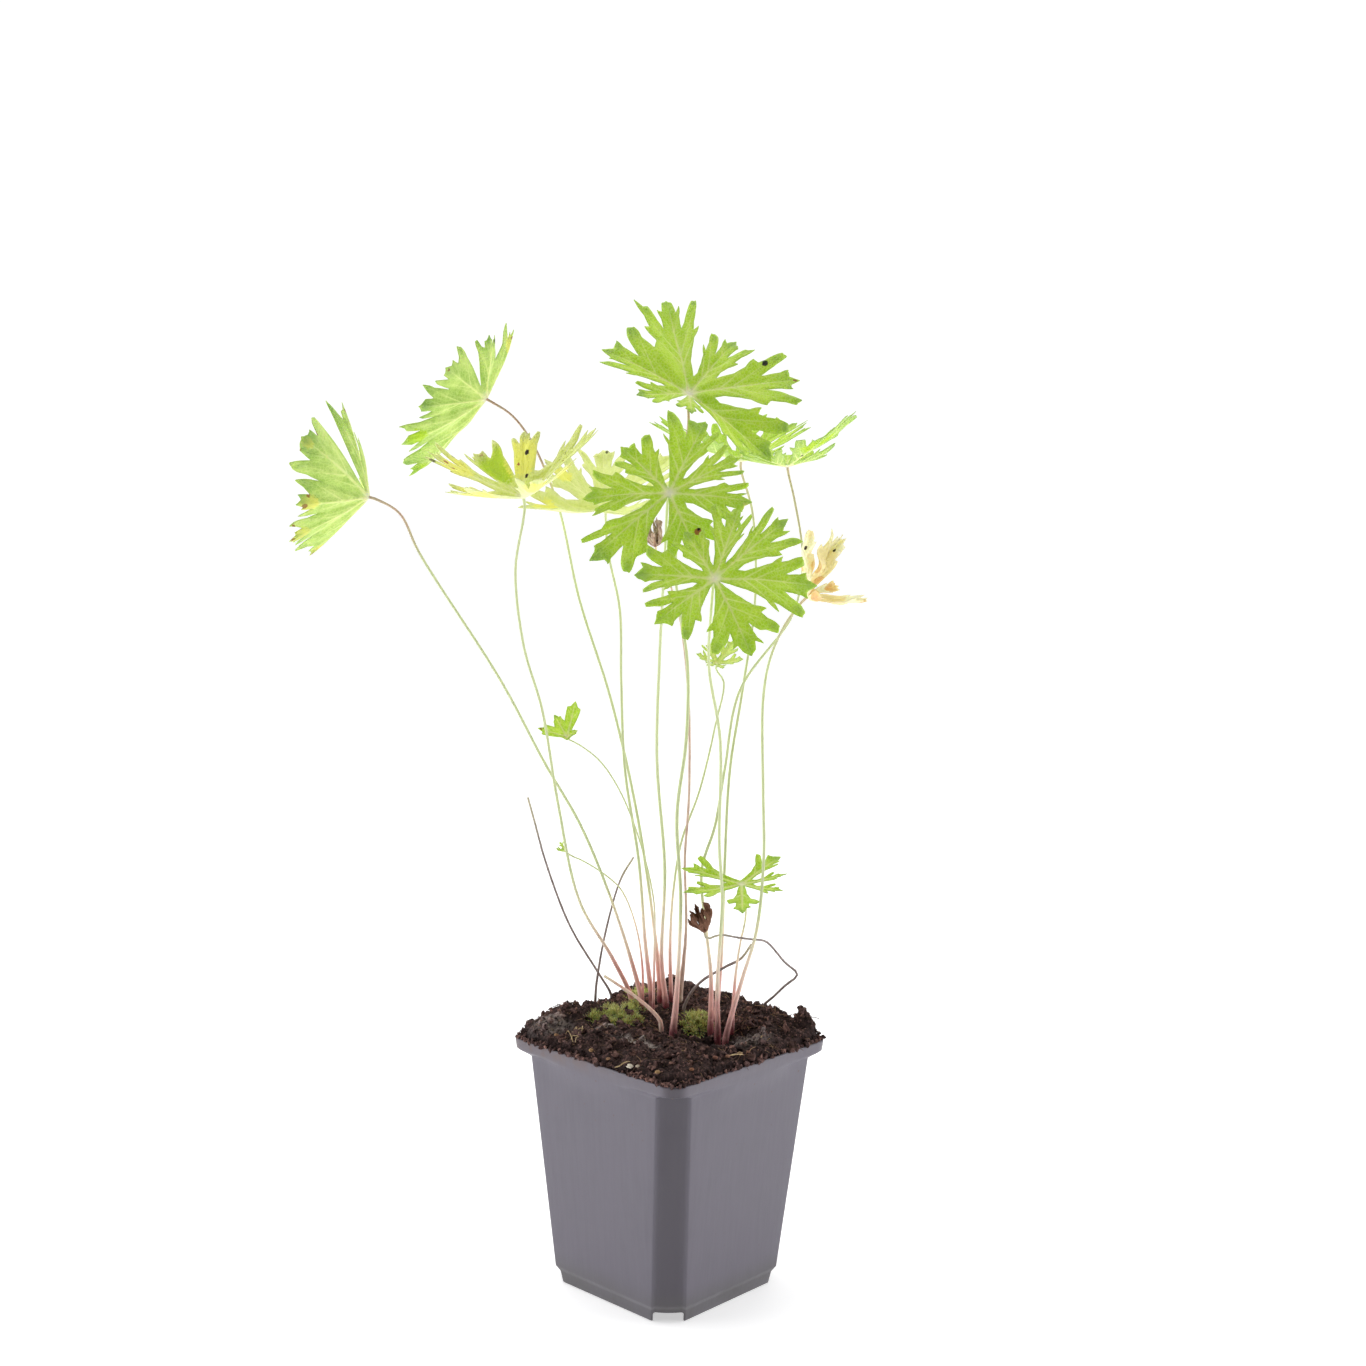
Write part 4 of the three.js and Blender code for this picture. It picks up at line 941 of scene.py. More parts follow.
# Leaves. hub: where the lobes meet. face: the way the upper side looks, as turn from -Y and height, degrees.
# cup, bend, fold: rise of the lobes at the hub, more of it at the tips, and the pleat along each midrib.
# lobes: turn round the hub, length and, for some, a rise, a width and an edge of their own.
# joined, joins: how far out the lobes are one sheet, for all and after the lobe of that turn.
# blush: red on the stalk, as shares of its length and amounts.
# marks: turn, share of the lobe and size in mm, for each colour. green: 0 deep to 1 pale.
leaves = [
    dict(name="far_left", edge="fanEdge", joined=0.64, joins={98: 0.34}, hub=(-115, -15, 307),
         face=(-105, 15), cup=28, bend=6, fold=0.3,
         lobes=[(-96, 33), (-50, 33), (-16, 30), (34, 36), (98, 36, 0, 0.62), (134, 29, 0, 0.6),
                (184, 24, 0, 0.6)],
         base=(-11, 14), path=[(-13, 16, 116), (-23, 16, 147), (-36, 13, 179), (-50, 9, 204), (-67, 3, 237),
                               (-97, -8, 286), (-104, -12, 301)], thick=(1.1, 0.85, 0.7),
         blush=[(0.86, 0), (0.93, 0.9), (1, 0.8)], green=0.75,
         marks={"brown": [(-18, 0.9, 2.6), (-8, 0.84, 1.8), (-50, 0.98, 1.9), (-96, 0.97, 1.9),
                         (26, 0.95, 1.6), (98, 0.93, 1.6), (46, 0.86, 1.4), (-38, 0.9, 1.4)],
                "yellow": [(-16, 0.84, 8), (-50, 0.88, 8), (-96, 0.9, 7), (34, 0.93, 5)]}),
    dict(name="upper_left", edge="fanEdge", joined=0.66, joins={20: 0.2, 80: 0.6, 126: 0.1},
         hub=(-76, 45, 344), face=(-118, 25), cup=12, bend=8, fold=0.28,
         lobes=[(-80, 44), (-46, 38), (-17, 31), (20, 27), (80, 25, 0, 0.62), (126, 33, 0, 0.62),
                (168, 18, 24)],
         base=(-3.5, 18), path=[(-6, 20, 133), (-14, 25, 182), (-25, 29, 227), (-38, 34, 266),
                                (-47, 38, 303), (-58, 42, 328), (-66, 44, 338)], thick=(1.25, 0.9, 0.65),
         blush=[(0.8, 0), (0.86, 0.9), (1, 1)], green=0.7,
         marks={"black": [(92, 0.9, 1.8)],
                "brown": [(126, 0.9, 1.4), (20, 0.95, 1.3)],
                "yellow": [(126, 0.8, 8)],
                "green": [(-46, 0.85, 9), (-80, 0.9, 8)]}),
    dict(name="yellowing", look="yellowing", joined=0.34, slim=0.78, hub=(-58, -20, 308), face=(-45, 78),
         cup=24, bend=8, fold=0.3,
         lobes=[(-25, 27, -8), (22, 25, 0, 0.7), (68, 37, 0, 0.7), (126, 28, 18, 0.9, "fanEdge"),
                (176, 30, 0, 1.1, "fanEdge"), (217, 38), (250, 30, -14)],
         base=(-15, 20), path=[(-23, 17, 125), (-36, 11, 149), (-45, 3, 191), (-51, -3, 227),
                               (-58, -8, 252), (-61, -14, 281), (-58, -19, 300)], thick=(1.1, 0.85, 0.7),
         green=0.6,
         marks={"black": [(226, 0.92, 2.4), (204, 0.78, 1.8), (120, 0.66, 2.2), (116, 0.32, 1.7),
                         (117, 0.86, 1.2), (138, 0.24, 1.5), (184, 0.88, 1.4)],
                "brown": [(222, 0.72, 1.6), (217, 0.82, 2.2), (137, 0.5, 1.4), (172, 0.93, 1.6),
                         (68, 0.55, 1.3)],
                "yellow": [(217, 0.7, 13), (250, 0.6, 14), (128, 0.6, 17), (-25, 0.7, 9), (22, 0.8, 8)],
                "green": [(166, 0.6, 18)]}),
    dict(name="pale_centre", look="yellowing", joined=0.32, hub=(-28, 30, 302), face=(0, 75), cup=22,
         bend=4, fold=0.3,
         lobes=[(-62, 26, -14), (-14, 30), (38, 37), (93, 34), (145, 33), (190, 34, -24)],
         base=(-7, 14.5), path=[(-10, 15.5, 132), (-13, 17.5, 164), (-19, 21, 200), (-21, 24, 235),
                                (-22, 27, 263), (-27, 29, 286)], thick=(1.2, 0.9, 0.7), green=0.8,
         marks={"black": [(90, 0.97, 1.8), (104, 0.9, 1.8)], "yellow": [(190, 0.7, 10), (145, 0.7, 8)]}),
    dict(name="centre", hub=(-5, -30, 311), face=(5, 24), cup=8, bend=-8, fold=0.26,
         lobes=[(-139, 38, -4, 0.84), (-68, 29), (-6, 30), (27, 29), (63, 31), (135, 24), (186, 31)],
         base=(-1.5, 12.5),
         path=[(-3.5, 11, 125), (-3, 6, 163), (-7, -3, 208), (-7, -14, 248), (-6, -24, 286)],
         thick=(1.25, 0.95, 0.75), green=0.25,
         marks={"brown": [(-58, 0.64, 2.6)], "black": [(-56, 0.62, 1.2)], "yellow": [(-10, 0.95, 3)]}),
    dict(name="front", hub=(11, -55, 282), face=(5, 30), cup=8, bend=-8, fold=0.26,
         lobes=[(-141, 28), (-69, 31), (-3, 36), (41, 36), (70, 29), (120, 20), (178, 28)],
         base=(18.2, -8), path=[(17.5, -12, 124), (18, -23, 158), (16, -30, 182), (15, -39, 222),
                                (10, -46, 250), (10, -51, 268)], thick=(1.3, 0.95, 0.75), green=0.2,
         marks={"black": [(18, 0.74, 2.0)]}),
    dict(name="top", joins={93: 0.62, 148: 0.42, 5: 0.36}, hub=(3, 10, 347), face=(10, 50), cup=12, bend=-6,
         fold=0.28,
         lobes=[(-96, 15), (-47, 41, -16), (5, 43), (50, 34), (93, 49, 0, 0.8), (148, 37), (194, 22)],
         base=(1, -7), path=[(2, -6.5, 115), (3, -5.5, 154), (1, -4, 187), (4, -3, 216), (4, -1, 245),
                             (-1, 3, 279), (1, 7, 315), (3, 8, 337)], thick=(1.5, 1.05, 0.75),
         blush=[(0.84, 0), (0.92, 0.9), (1, 0.9)], green=0.3,
         marks={"black": [(20, 0.76, 2.6)], "brown": [(5, 0.97, 1.6)]}),
    dict(name="behind", hub=(27, 68, 321), face=(0, 83), cup=14, bend=6, fold=0.28,
         lobes=[(-52, 21), (-6, 31, 8), (38, 33, 6), (82, 32, 8), (130, 30), (175, 40), (214, 32)],
         base=(18, 1.5),
         path=[(20, 8, 131), (21, 18, 161), (23, 30, 199), (28, 40, 230), (33, 52, 265), (32, 64, 300)],
         thick=(1.2, 0.9, 0.7), blush=[(0.85, 0), (1, 0.6)], green=0.15,
         marks={"brown": [(175, 0.97, 1.6)]}),
    dict(name="right", joins={-14: 0.3}, hub=(43, 32, 320), face=(-40, 72), cup=26, bend=4, fold=0.3,
         lobes=[(-84, 22), (-14, 29), (33, 34), (80, 22, -34), (124, 22, -34), (166, 23, -20),
                (210, 20, -10)],
         base=(15.6, -4.6), path=[(15.5, -1, 123), (13.5, 3, 140), (11.5, 8, 163), (16.5, 11, 180),
                                  (20, 14, 202), (25.5, 17, 233), (46, 22, 263), (49.5, 26, 284),
                                  (46, 30, 307)], thick=(1.25, 0.9, 0.65),
         blush=[(0.8, 0), (0.9, 0.4), (1, 0.6)], green=0.15,
         marks={"black": [(-14, 0.4, 1.4)],
                "brown": [(-84, 0.9, 1.4)],
                "green": [(-14, 0.7, 12), (33, 0.55, 9)]}),
    dict(name="dying_right", look="dying", edge="fingerEdge", joined=0.3, hub=(47, -20, 273), face=(60, 45),
         cup=36, bend=10, fold=0.32, slim=0.94, crumple=0.5,
         lobes=[(-78, 23), (-16, 14), (38, 28), (84, 24), (128, 16), (170, 15), (215, 13)],
         base=(21.2, -11.2), path=[(27, -10, 124), (32, -12, 144), (34, -13, 172), (33, -15, 199),
                                   (32, -17, 234), (34, -18, 249), (39, -19, 262)], thick=(1.25, 0.95, 0.7),
         blush=[(0.85, 0), (1, 0.7)], green=1.0,
         marks={"black": [(62, 0.73, 1.8), (84, 0.74, 1.6), (31, 0.78, 1.7)],
                "brown": [(0, 0.1, 8), (-16, 0.8, 6), (215, 0.7, 7), (170, 0.7, 6), (-78, 0.95, 3.5),
                         (128, 0.85, 3), (60, 0.4, 4.5), (24, 0.3, 4)],
                "yellow": [(42, 0.5, 18), (-78, 0.4, 12)]}),
    dict(name="small_pale", hub=(17, 35, 241), face=(0, 60), cup=12, bend=10, fold=0.3, small=True,
         lobes=[(-66, 6), (-8, 11), (52, 13), (108, 11), (164, 9), (222, 6)],
         base=(0.8, 17.5),
         path=[(0, 18, 130), (1, 20, 152), (4, 24, 171), (11, 28, 191), (17, 32, 217), (20, 35, 234)],
         thick=(0.95, 0.75, 0.55), green=0.95),
    dict(name="folded_young", edge="foldEdge", joined=0.62, hub=(-42, 20, 213), face=(0, 20), cup=14,
         bend=10, fold=0.45, small=True,
         lobes=[(30, 5), (76, 14.5), (122, 10), (168, 12.5)],
         base=(-6.5, 8.5), path=[(-6.5, 8.5, 130), (-7, 9, 150), (-13, 11, 174), (-21, 14, 193),
                                 (-29, 18, 204), (-37, 22, 209.5)], thick=(0.6, 0.5, 0.45), green=0.45,
         marks={"brown": [(168, 0.9, 1.2)]}),
    dict(name="bud", hub=(-42, 21, 167), face=(-60, 40), cup=40, bend=15, fold=0.3, small=True,
         lobes=[(0, 4), (70, 5), (140, 4.5), (215, 4)],
         base=(-10.5, 20.5),
         path=[(-11, 21, 122), (-14, 21, 138), (-20, 20.5, 152), (-28, 20.5, 159), (-36, 21.5, 163.5)],
         thick=(0.6, 0.5, 0.45), green=0.6),
    dict(name="fresh", slim=0.74, hub=(26.5, -3, 160), face=(0, 68), cup=6, bend=0, fold=0.32, small=True,
         lobes=[(-92, 22), (-26, 17), (12, 18), (46, 23), (162, 24), (205, 25)],
         base=(24, -4), path=[(25, -3, 124), (26.5, -2, 136), (28.5, -1, 147), (28, 0, 154)],
         thick=(0.9, 0.7, 0.55), green=0.1),
    dict(name="curled_dead", look="dead", hub=(12, -14, 144), face=(-45, 66), cup=44, bend=30, fold=0.2,
         slim=1.1, joined=0.5, small=True,
         lobes=[(0, 11.5), (72, 12.5), (144, 11), (216, 11), (288, 11)],
         base=(38, 14), stalk="dead", path=[(41, 14, 110), (46, 13, 115.5), (50.5, 12, 120), (45, 9, 126),
                                            (37, 2, 136), (31, -4, 138.5), (25, -7, 140), (18, -11, 142)],
         thick=(0.5, 0.42, 0.42), green=0.1),
    dict(name="dry_brown", look="dead", hub=(-9, -1, 290), face=(-20, 60), cup=42, bend=30, fold=0.2,
         slim=1.1, joined=0.5, small=True,
         lobes=[(0, 12), (72, 11), (144, 12), (216, 10), (288, 10)],
         base=(4.2, 15), stalk="dry",
         path=[(6, 13, 138), (5, 12, 167), (6, 10.5, 191), (5, 9.5, 231), (1, 9.5, 262), (-5, 5, 280)],
         thick=(1.1, 0.8, 0.6), green=1.0),
]
bareStalks = [
    dict(name="dead_left",
         base=(-23, 32), stalk="dead",
         path=[(-28, 31, 114), (-40, 27, 135), (-50, 21, 163), (-54, 19, 178), (-57, 18, 189)],
         thick=(0.5, 0.45, 0.4)),
    dict(name="dead_back",
         base=(-29.5, 24), stalk="dead",
         path=[(-29, 24.5, 113), (-26, 25, 132), (-20, 25, 155), (-15, 25, 164)], thick=(0.5, 0.4, 0.4)),
    dict(name="stub",
         base=(-3.6, -4.6), stalk="old",
         path=[(-4.2, -4, 106), (-12, 1, 112.5), (-20, 5, 117), (-26, 8, 120)], thick=(0.9, 0.7, 0.55)),
    dict(name="old_stick",
         base=(5.6, 9), stalk="dead", path=[(11, 5, 118), (21, 1, 126), (27, -1, 130), (31, -2, 136)],
         thick=(0.6, 0.5, 0.45)),
]


def leafAxes(face):
    a, h = math.radians(face[0]), math.radians(face[1])
    n = np.array([math.cos(h) * math.sin(a), -math.cos(h) * math.cos(a), math.sin(h)])
    u = np.array([math.cos(a), math.sin(a), 0.0])
    return n, u, np.cross(n, u)


def smoothLine(points, step):
    # centripetal Catmull-Rom through the points, sampled at even steps
    pts = [np.array(p, float) for p in points]
    pts = [2 * pts[0] - pts[1]] + pts + [2 * pts[-1] - pts[-2]]
    dense = []
    for a, b, c, d in zip(pts, pts[1:], pts[2:], pts[3:]):
        t0 = 0.0
        t1 = t0 + max(1e-4, np.linalg.norm(b - a)) ** 0.5
        t2 = t1 + max(1e-4, np.linalg.norm(c - b)) ** 0.5
        t3 = t2 + max(1e-4, np.linalg.norm(d - c)) ** 0.5
        blend = lambda p, q, low, high, t: (high - t) / (high - low) * p + (t - low) / (high - low) * q
        for k in range(24):
            t = t1 + (t2 - t1) * k / 24
            p, q, r = blend(a, b, t0, t1, t), blend(b, c, t1, t2, t), blend(c, d, t2, t3, t)
            dense.append(blend(blend(p, q, t0, t2, t), blend(q, r, t1, t3, t), t1, t2, t))
    dense = np.array(dense + [pts[-2]])
    run = np.concatenate([[0], np.cumsum(np.linalg.norm(np.diff(dense, axis=0), axis=1))])
    at = np.linspace(0, run[-1], max(3, int(run[-1] / step)) + 1)
    return np.stack([np.interp(at, run, dense[:, k]) for k in range(3)], axis=1), at / run[-1]


def stalkTree():
    # a round rod along the line, with fine grooves and short hairs
    tree, given, out = newShapeTree("growStalk", [
        ("Sides", "Int", 12), ("Grooves", "Float", 0.00004), ("Hairs", "Float", 0.0),
        ("Hair length", "Float", 0.0007)])
    line = shapeNode(tree, "MeshToCurve", {0: given[0]})
    ring = shapeNode(tree, "CurvePrimitiveCircle", {"Resolution": given["Sides"], "Radius": 1.0})
    rod = shapeNode(tree, "CurveToMesh", {0: line, 1: ring, "Scale": named(tree, "thick"), "Fill Caps": True})
    squash = vector("MULTIPLY", shapeNode(tree, "InputPosition"), (1500, 1500, 160))
    swell = times(calc("SUBTRACT", noiseAt(squash, 1.0, 1).outputs[0], 0.5), given["Grooves"])
    push = vector("SCALE", shapeNode(tree, "InputNormal"), swell)
    shaped = shapeNode(tree, "SetPosition", {0: rod, "Offset": push})
    smooth = shapeNode(tree, "SetShadeSmooth", {0: shaped})
    spots = spotsOn(smooth, given["Hairs"], given["Seed"])
    hair = tagged(spike(tree, 0.035), "hair", 1.0)
    hairs = upright(spots, hair, 0.7, (0.5, 1.2), given["Hair length"], given["Seed"])
    return finishTree(tree, joinShapes(tree, [smooth, hairs]), given, out)


def stalkMaterial():
    material, tree, shader = startMaterial(
        "stalkSkin", Roughness=0.5, Subsurface_Weight=0.2, Subsurface_Scale=0.0012, Sheen_Weight=0.1,
        Subsurface_Radius=(1.0, 0.9, 0.7))
    where = objectPlace(tree)
    streaked = scaled(where, (1, 1, 0.12))
    streak, patch = mottle(streaked, 1.4, 0.25), mottle(where, 0.08, 0.2)
    wander = plus(attribute(tree, "rise"), times(calc("SUBTRACT", patch, 0.5), 9.0))
    colour = stalks["deep"]
    for low, high, tint in ((-3, 8, "pink"), (11, 29, "cream"), (28, 54, "green")):
        colour = mix(remap(wander, low, high), colour, stalks[tint])
    blush = times(attribute(tree, "blush"), remap(streak, 0, 1, 0.45, 0.8))
    colour = mix(blush, colour, stalks["blush"])
    colour = mix(times(streak, remap(wander, 10, 45, 0.32, 0)), colour, stalks["blush"])
    colour = mix(attribute(tree, "hair"), colour, stalks["hair"])
    finishMaterial(shader, colour, grainAt(streaked, 3.0), 0.00012, 0.6)
    return material


def oldStalkMaterial(name, light, dark):
    material, tree, shader = startMaterial(name, Roughness=0.7)
    where = objectPlace(tree)
    streaked = scaled(where, (1, 1, 0.3))
    colour = mix(mottle(streaked, 0.9, 0.25), light, dark)
    colour = mix(times(mottle(where, 0.12, 0.2), 0.5), colour, dark)
    tip = tuple(0.45 * a + 0.55 * b for a, b in zip(linear(light), (0.8, 0.75, 0.45, 1)))
    colour = mix(times(remap(attribute(tree, "share"), 0.8, 0.98), 0.8), colour, tip)
    finishMaterial(shader, colour, grainAt(streaked, 2.0), 0.0002)
    return material


def buildStalk(stalk, tree, materials, index):
    x, y = stalk["base"]
    z = soilTop(x, y)
    line = [(x, y, z - stalks["rootDepth"]), (x, y, z - 5), (x, y, z + 1.2)] + list(stalk["path"])
    if "hub" in stalk:
        n = leafAxes(stalk["face"])[0]
        line += [tuple(np.array(stalk["hub"], float) - n * gap) for gap in (stalks["neck"], stalks["tipGap"])]
    points, share = smoothLine(line, stalks["step"])
    foot, mid, tip = stalk["thick"]
    kind = stalk.get("stalk", "live")
    live = kind == "live"
    thick = []
    for p, t in zip(points, share):
        above = smoothStep(p[2], z, z + 40)
        r = (foot + (mid - foot) * above + (tip - mid) * max(0, t - 0.3) / 0.7) * stalks["slim"]
        r *= 1 - (1 - stalks["upper"]) * above if kind != "dead" else 1.1
        if p[2] < z + 6:
            r *= 1 + 0.22 * smoothStep(z + 6 - p[2], 0, 6)  # swollen foot
        if "hub" in stalk and t > 0.97:
            r *= 1 + 0.25 * (t - 0.97) / 0.03
        thick.append(r * mm)
    blush = stalk.get("blush", [(0, 0.0)])
    piece = meshObject("line", points, [], edges=[(k, k + 1) for k in range(len(points) - 1)])
    storeValues(piece, thick=thick, share=share, rise=points[:, 2] - z,
                blush=np.interp(share, [b[0] for b in blush], [b[1] for b in blush]))
    made = grow(piece, tree, f"stalk_{stalk['name']}_skin", {
        "Sides": stalks["sides"], "Grooves": 0.00012 if live else 0.0003,
        "Hairs": stalks["hairs"] * perSquareMetre if live else 0.0, "Hair length": stalks["hairLength"] * mm,
        "Seed": stalks["seed"] + index, "Material": materials[kind]})
    place(made, {"live": "stalk", "old": "stalk_old"}.get(kind, "stalk_dead"), f"stalk_{stalk['name']}")
    return len(made.data.polygons)


def buildStalks():
    tree = stalkTree()
    materials = {kind: oldStalkMaterial(f"{kind}Stalk", *tints) for kind, tints in stalks["old"].items()}
    materials["live"] = stalkMaterial()
    total = sum(buildStalk(stalk, tree, materials, k) for k, stalk in enumerate(leaves + bareStalks))
    print("stalks", total, "faces")
    return tree


threadTree = buildStalks()

# ---- blades

blade = {
    # half the edge of one lobe, waist to tip: share along, share across,
    # and where the vein to a tooth leaves the midrib
    "edge": [(0.29, 0.118), (0.42, 0.18), (0.51, 0.235), (0.6, 0.335, 0.27), (0.635, 0.275), (0.71, 0.305),
             (0.79, 0.36), (0.86, 0.385, 0.38), (0.895, 0.33), (0.85, 0.25), (0.765, 0.175), (0.665, 0.108),
             (0.74, 0.113), (0.82, 0.126), (0.895, 0.158, 0.66), (0.905, 0.098), (0.955, 0.068)],
    "fanEdge": [(0.68, 0.3), (0.76, 0.35), (0.84, 0.37, 0.38), (0.9, 0.33), (0.86, 0.24), (0.8, 0.15),
                (0.85, 0.14), (0.92, 0.14, 0.66), (0.94, 0.07)],
    "fingerEdge": [(0.34, 0.12), (0.5, 0.17), (0.62, 0.2, 0.3), (0.66, 0.16), (0.76, 0.2), (0.83, 0.21, 0.5),
                   (0.86, 0.13), (0.94, 0.11, 0.7), (0.96, 0.05)],
    "foldEdge": [(0.72, 0.17), (0.8, 0.16, 0.5), (0.83, 0.08)],
    "smallEdge": [(0.34, 0.1), (0.5, 0.165), (0.68, 0.34, 0.32), (0.74, 0.27), (0.63, 0.12), (0.74, 0.125),
                  (0.85, 0.18, 0.6), (0.87, 0.09)],
    "joined": 0.24, "hubNotch": 1.7, "openGap": 62, "shoulder": 0.16, "clear": 1.1, "widest": 1.12,
    "variation": 0.05,
    "thickness": 0.44, "edgeThickness": 0.2, "mesh": 0.85, "smallMesh": 0.5, "wave": 0.55, "quilt": 0.42,
    "groove": 0.14, "ridge": 0.32, "crumplePitch": 0.45, "hubSpot": 0.055, "rimGap": 0.12, "besideVein": 0.36,
    "limp": {"green": 1.0, "yellowing": 1.2, "dying": 1.6, "dead": 1.5},
    # size and pitch of the finer creases, and how soon they start from the hub
    "creases": {"dying": ([(0.65, 40, 1.7)], 4), "dead": ([(0.75, 40, 1.5), (0.3, 60, 0.7)], 3)},
    "slots": {"green": "leaf", "yellowing": "leaf_yellowing", "dying": "leaf_dying", "dead": "leaf_dead"},
}
leafColours = {
    "green": dict(deep=(176, 214, 30), light=(220, 244, 94), vein=(236, 246, 168), under=(212, 232, 140),
                  underDeep=(164, 196, 88), washed=(230, 242, 168), yellow=(232, 228, 112),
                  # for the green look the tips tone is a painted shade: darker bluish green at the lobe ends
                  # and along the edge
                  tips=(116, 152, 84), heart=(254, 254, 226), spot=(150, 96, 56)),
    "yellowing": dict(deep=(196, 220, 94), light=(226, 238, 146), vein=(240, 246, 190), under=(228, 238, 176),
                      underDeep=(208, 224, 138), washed=(238, 246, 186), yellow=(255, 250, 120),
                      tips=(172, 176, 120), heart=(250, 250, 210), spot=(150, 96, 56)),
    "dying": dict(deep=(255, 246, 190), light=(255, 252, 214), vein=(254, 242, 200), under=(255, 250, 214),
                  underDeep=(252, 232, 174), washed=(255, 252, 212), yellow=(250, 212, 168),
                  tips=(226, 188, 136), heart=(252, 220, 160), spot=(244, 204, 158),
                  spotDeep=(212, 160, 114)),
    "dead": dict(deep=(136, 94, 74), light=(184, 142, 114), vein=(150, 108, 86), under=(178, 138, 112),
                 underDeep=(134, 96, 78), washed=(255, 236, 216), yellow=(184, 136, 96), tips=(112, 78, 62),
                 heart=(150, 108, 86), spot=(110, 70, 50)),
}
spotColours = {"green": (180, 212, 24), "spotDeep": (196, 132, 74), "black": (34, 26, 24)}


def wobble(a, b):
    s = math.sin(a * 12.9898 + b * 78.233) * 43758.5453
    return 2 * (s - math.floor(s)) - 1


def lobesOf(leaf):
    edge = leaf.get("edge", "smallEdge" if leaf.get("small") else "edge")
    names, usual = ("turn", "length", "rise", "slim", "edge"), (0, 0, 0, 1, edge)
    lobes = [dict(zip(names, lobe + usual[len(lobe):])) for lobe in leaf["lobes"]]
    for i, lobe in enumerate(lobes):
        after = lobes[(i + 1) % len(lobes)]
        lobe["after"] = after["turn"] - lobe["turn"] + (360 if i + 1 == len(lobes) else 0)
        after["before"] = lobe["after"]
    return lobes


def polar(turn, r):
    return np.array([r * math.cos(math.radians(turn)), r * math.sin(math.radians(turn))])


def flatLeaf(leaf, lobes):
    # the outline spread flat round the hub, and the veins as lines with a weight
    corners, veins = [], []
    count, notch = len(lobes), blade["hubNotch"]

    def joinedAfter(i):
        return leaf.get("joins", {}).get(lobes[i % count]["turn"], leaf.get("joined", blade["joined"]))

    def cutAfter(i):
        lobe, follow = lobes[i], lobes[(i + 1) % count]
        isOpen = lobe["after"] > blade["openGap"]
        r = notch if isOpen else max(notch, joinedAfter(i) * min(lobe["length"], follow["length"]))
        return lobe["turn"] + lobe["after"] / 2, r, isOpen

    for i, lobe in enumerate(lobes):
        length, turn = lobe["length"], lobe["turn"]
        sides = {}
        for way in (1, -1):
            span = lobe["after"] if way > 0 else lobe["before"]
            cut = i if way > 0 else i - 1
            start = joinedAfter(cut) * min(1, lobes[(i + way) % count]["length"] / length)
            edge = [e for e in blade[lobe["edge"]] if e[0] > start + (0.04 if len(e) < 3 else 0.1)]
            angles = [math.degrees(math.atan2(e[1], e[0])) for e in edge]
            room = (span / 2 - blade["clear"]) / max(angles)
            squeeze = leaf.get("slim", 1) * lobe["slim"] * min(blade["widest"], room)
            line = []
            for k, (e, angle) in enumerate(zip(edge, angles)):
                jig = 1 + blade["variation"] * wobble(i * 7 + k, way + turn)
                if 0.6 < e[0] < 0.85 and e[1] > 0.19:
                    jig *= 1 + 0.075 * wobble(i + 3, way * 2 + turn)  # one side finger longer than the other
                off = angle * squeeze
                r = math.hypot(e[0], e[1]) * length * jig
                line.append((polar(turn + way * off, r), len(e) > 2))
                if len(e) > 2:
                    first, end = polar(turn, e[2] * length), polar(turn + way * off, r * 0.965)
                    weight = 0.68 - 0.4 * e[2]
                    middle = (first + end) / 2 + polar(turn, length * 0.035)
                    veins.append(([first, middle, end], weight, weight * 0.35))
            if not leaf.get("small"):
                # short veins into the waist of the lobe and into its end
                waist = polar(turn + way * angles[0] * squeeze * 0.8, edge[0][0] * length * 1.1)
                veins.append(([polar(turn, 0.16 * length), waist], 0.4, 0.15))
                short = ((13, 0.62), (17, 0.8))
                ends = [polar(turn + way * a * squeeze, share * length) for a, share in short]
                veins.append((ends, 0.35, 0.12))
            if cutAfter(cut)[2]:
                off = min(span / 2 - 8, 24)
                line.insert(0, (polar(turn + way * off, max(notch * 1.2, blade["shoulder"] * length)), False))
            sides[way] = [(p, "tooth" if tooth else "edge") for p, tooth in line]
        corners.append((polar(*cutAfter(i - 1)[:2]), "cut"))
        corners += sides[-1] + [(polar(turn, length * 1.01), "tooth")] + sides[1][::-1]
        veins.append(([polar(turn, 0.3), polar(turn, length * 0.5), polar(turn, length * 0.98)], 1.0, 0.3))
    return smoothOutline(corners), veins


def smoothOutline(corners):
    # flanks swell outwards a little, tips and notches are rounded
    line = []
    for (p, kind), (q, other) in zip(corners, corners[1:] + corners[:1]):
        d = q - p
        length = np.hypot(*d)
        normal = np.array([d[1], -d[0]]) / max(length, 1e-6)
        line.append(p + (0.02 * p if kind == "tooth" else 0))
        if length > 0.9:
            swell = 0.05 if "tooth" in (kind, other) else 0.02
            line += [p + d * t + normal * swell * length for t in (0.3, 0.7)]
    for _ in range(2):
        line = [a * t + b * (1 - t) for a, b in zip(line, line[1:] + line[:1]) for t in (0.75, 0.25)]
    kept = [line[0]]
    for p in line[1:]:
        if np.hypot(*(p - kept[-1])) > blade["rimGap"]:
            kept.append(p)
    if np.hypot(*(kept[0] - kept[-1])) < blade["rimGap"]:
        kept.pop()
    return np.array(kept)


def bowed(points, spacing):
    # even points along a line or an arc through a middle point
    a, c = points[0], points[-1]
    b = points[1] if len(points) == 3 else (a + c) / 2
    t = np.linspace(0, 1, max(2, int(np.hypot(*(c - a)) / spacing)) + 1)[:, None]
    return (1 - t) ** 2 * a + 2 * t * (1 - t) * b + t ** 2 * c


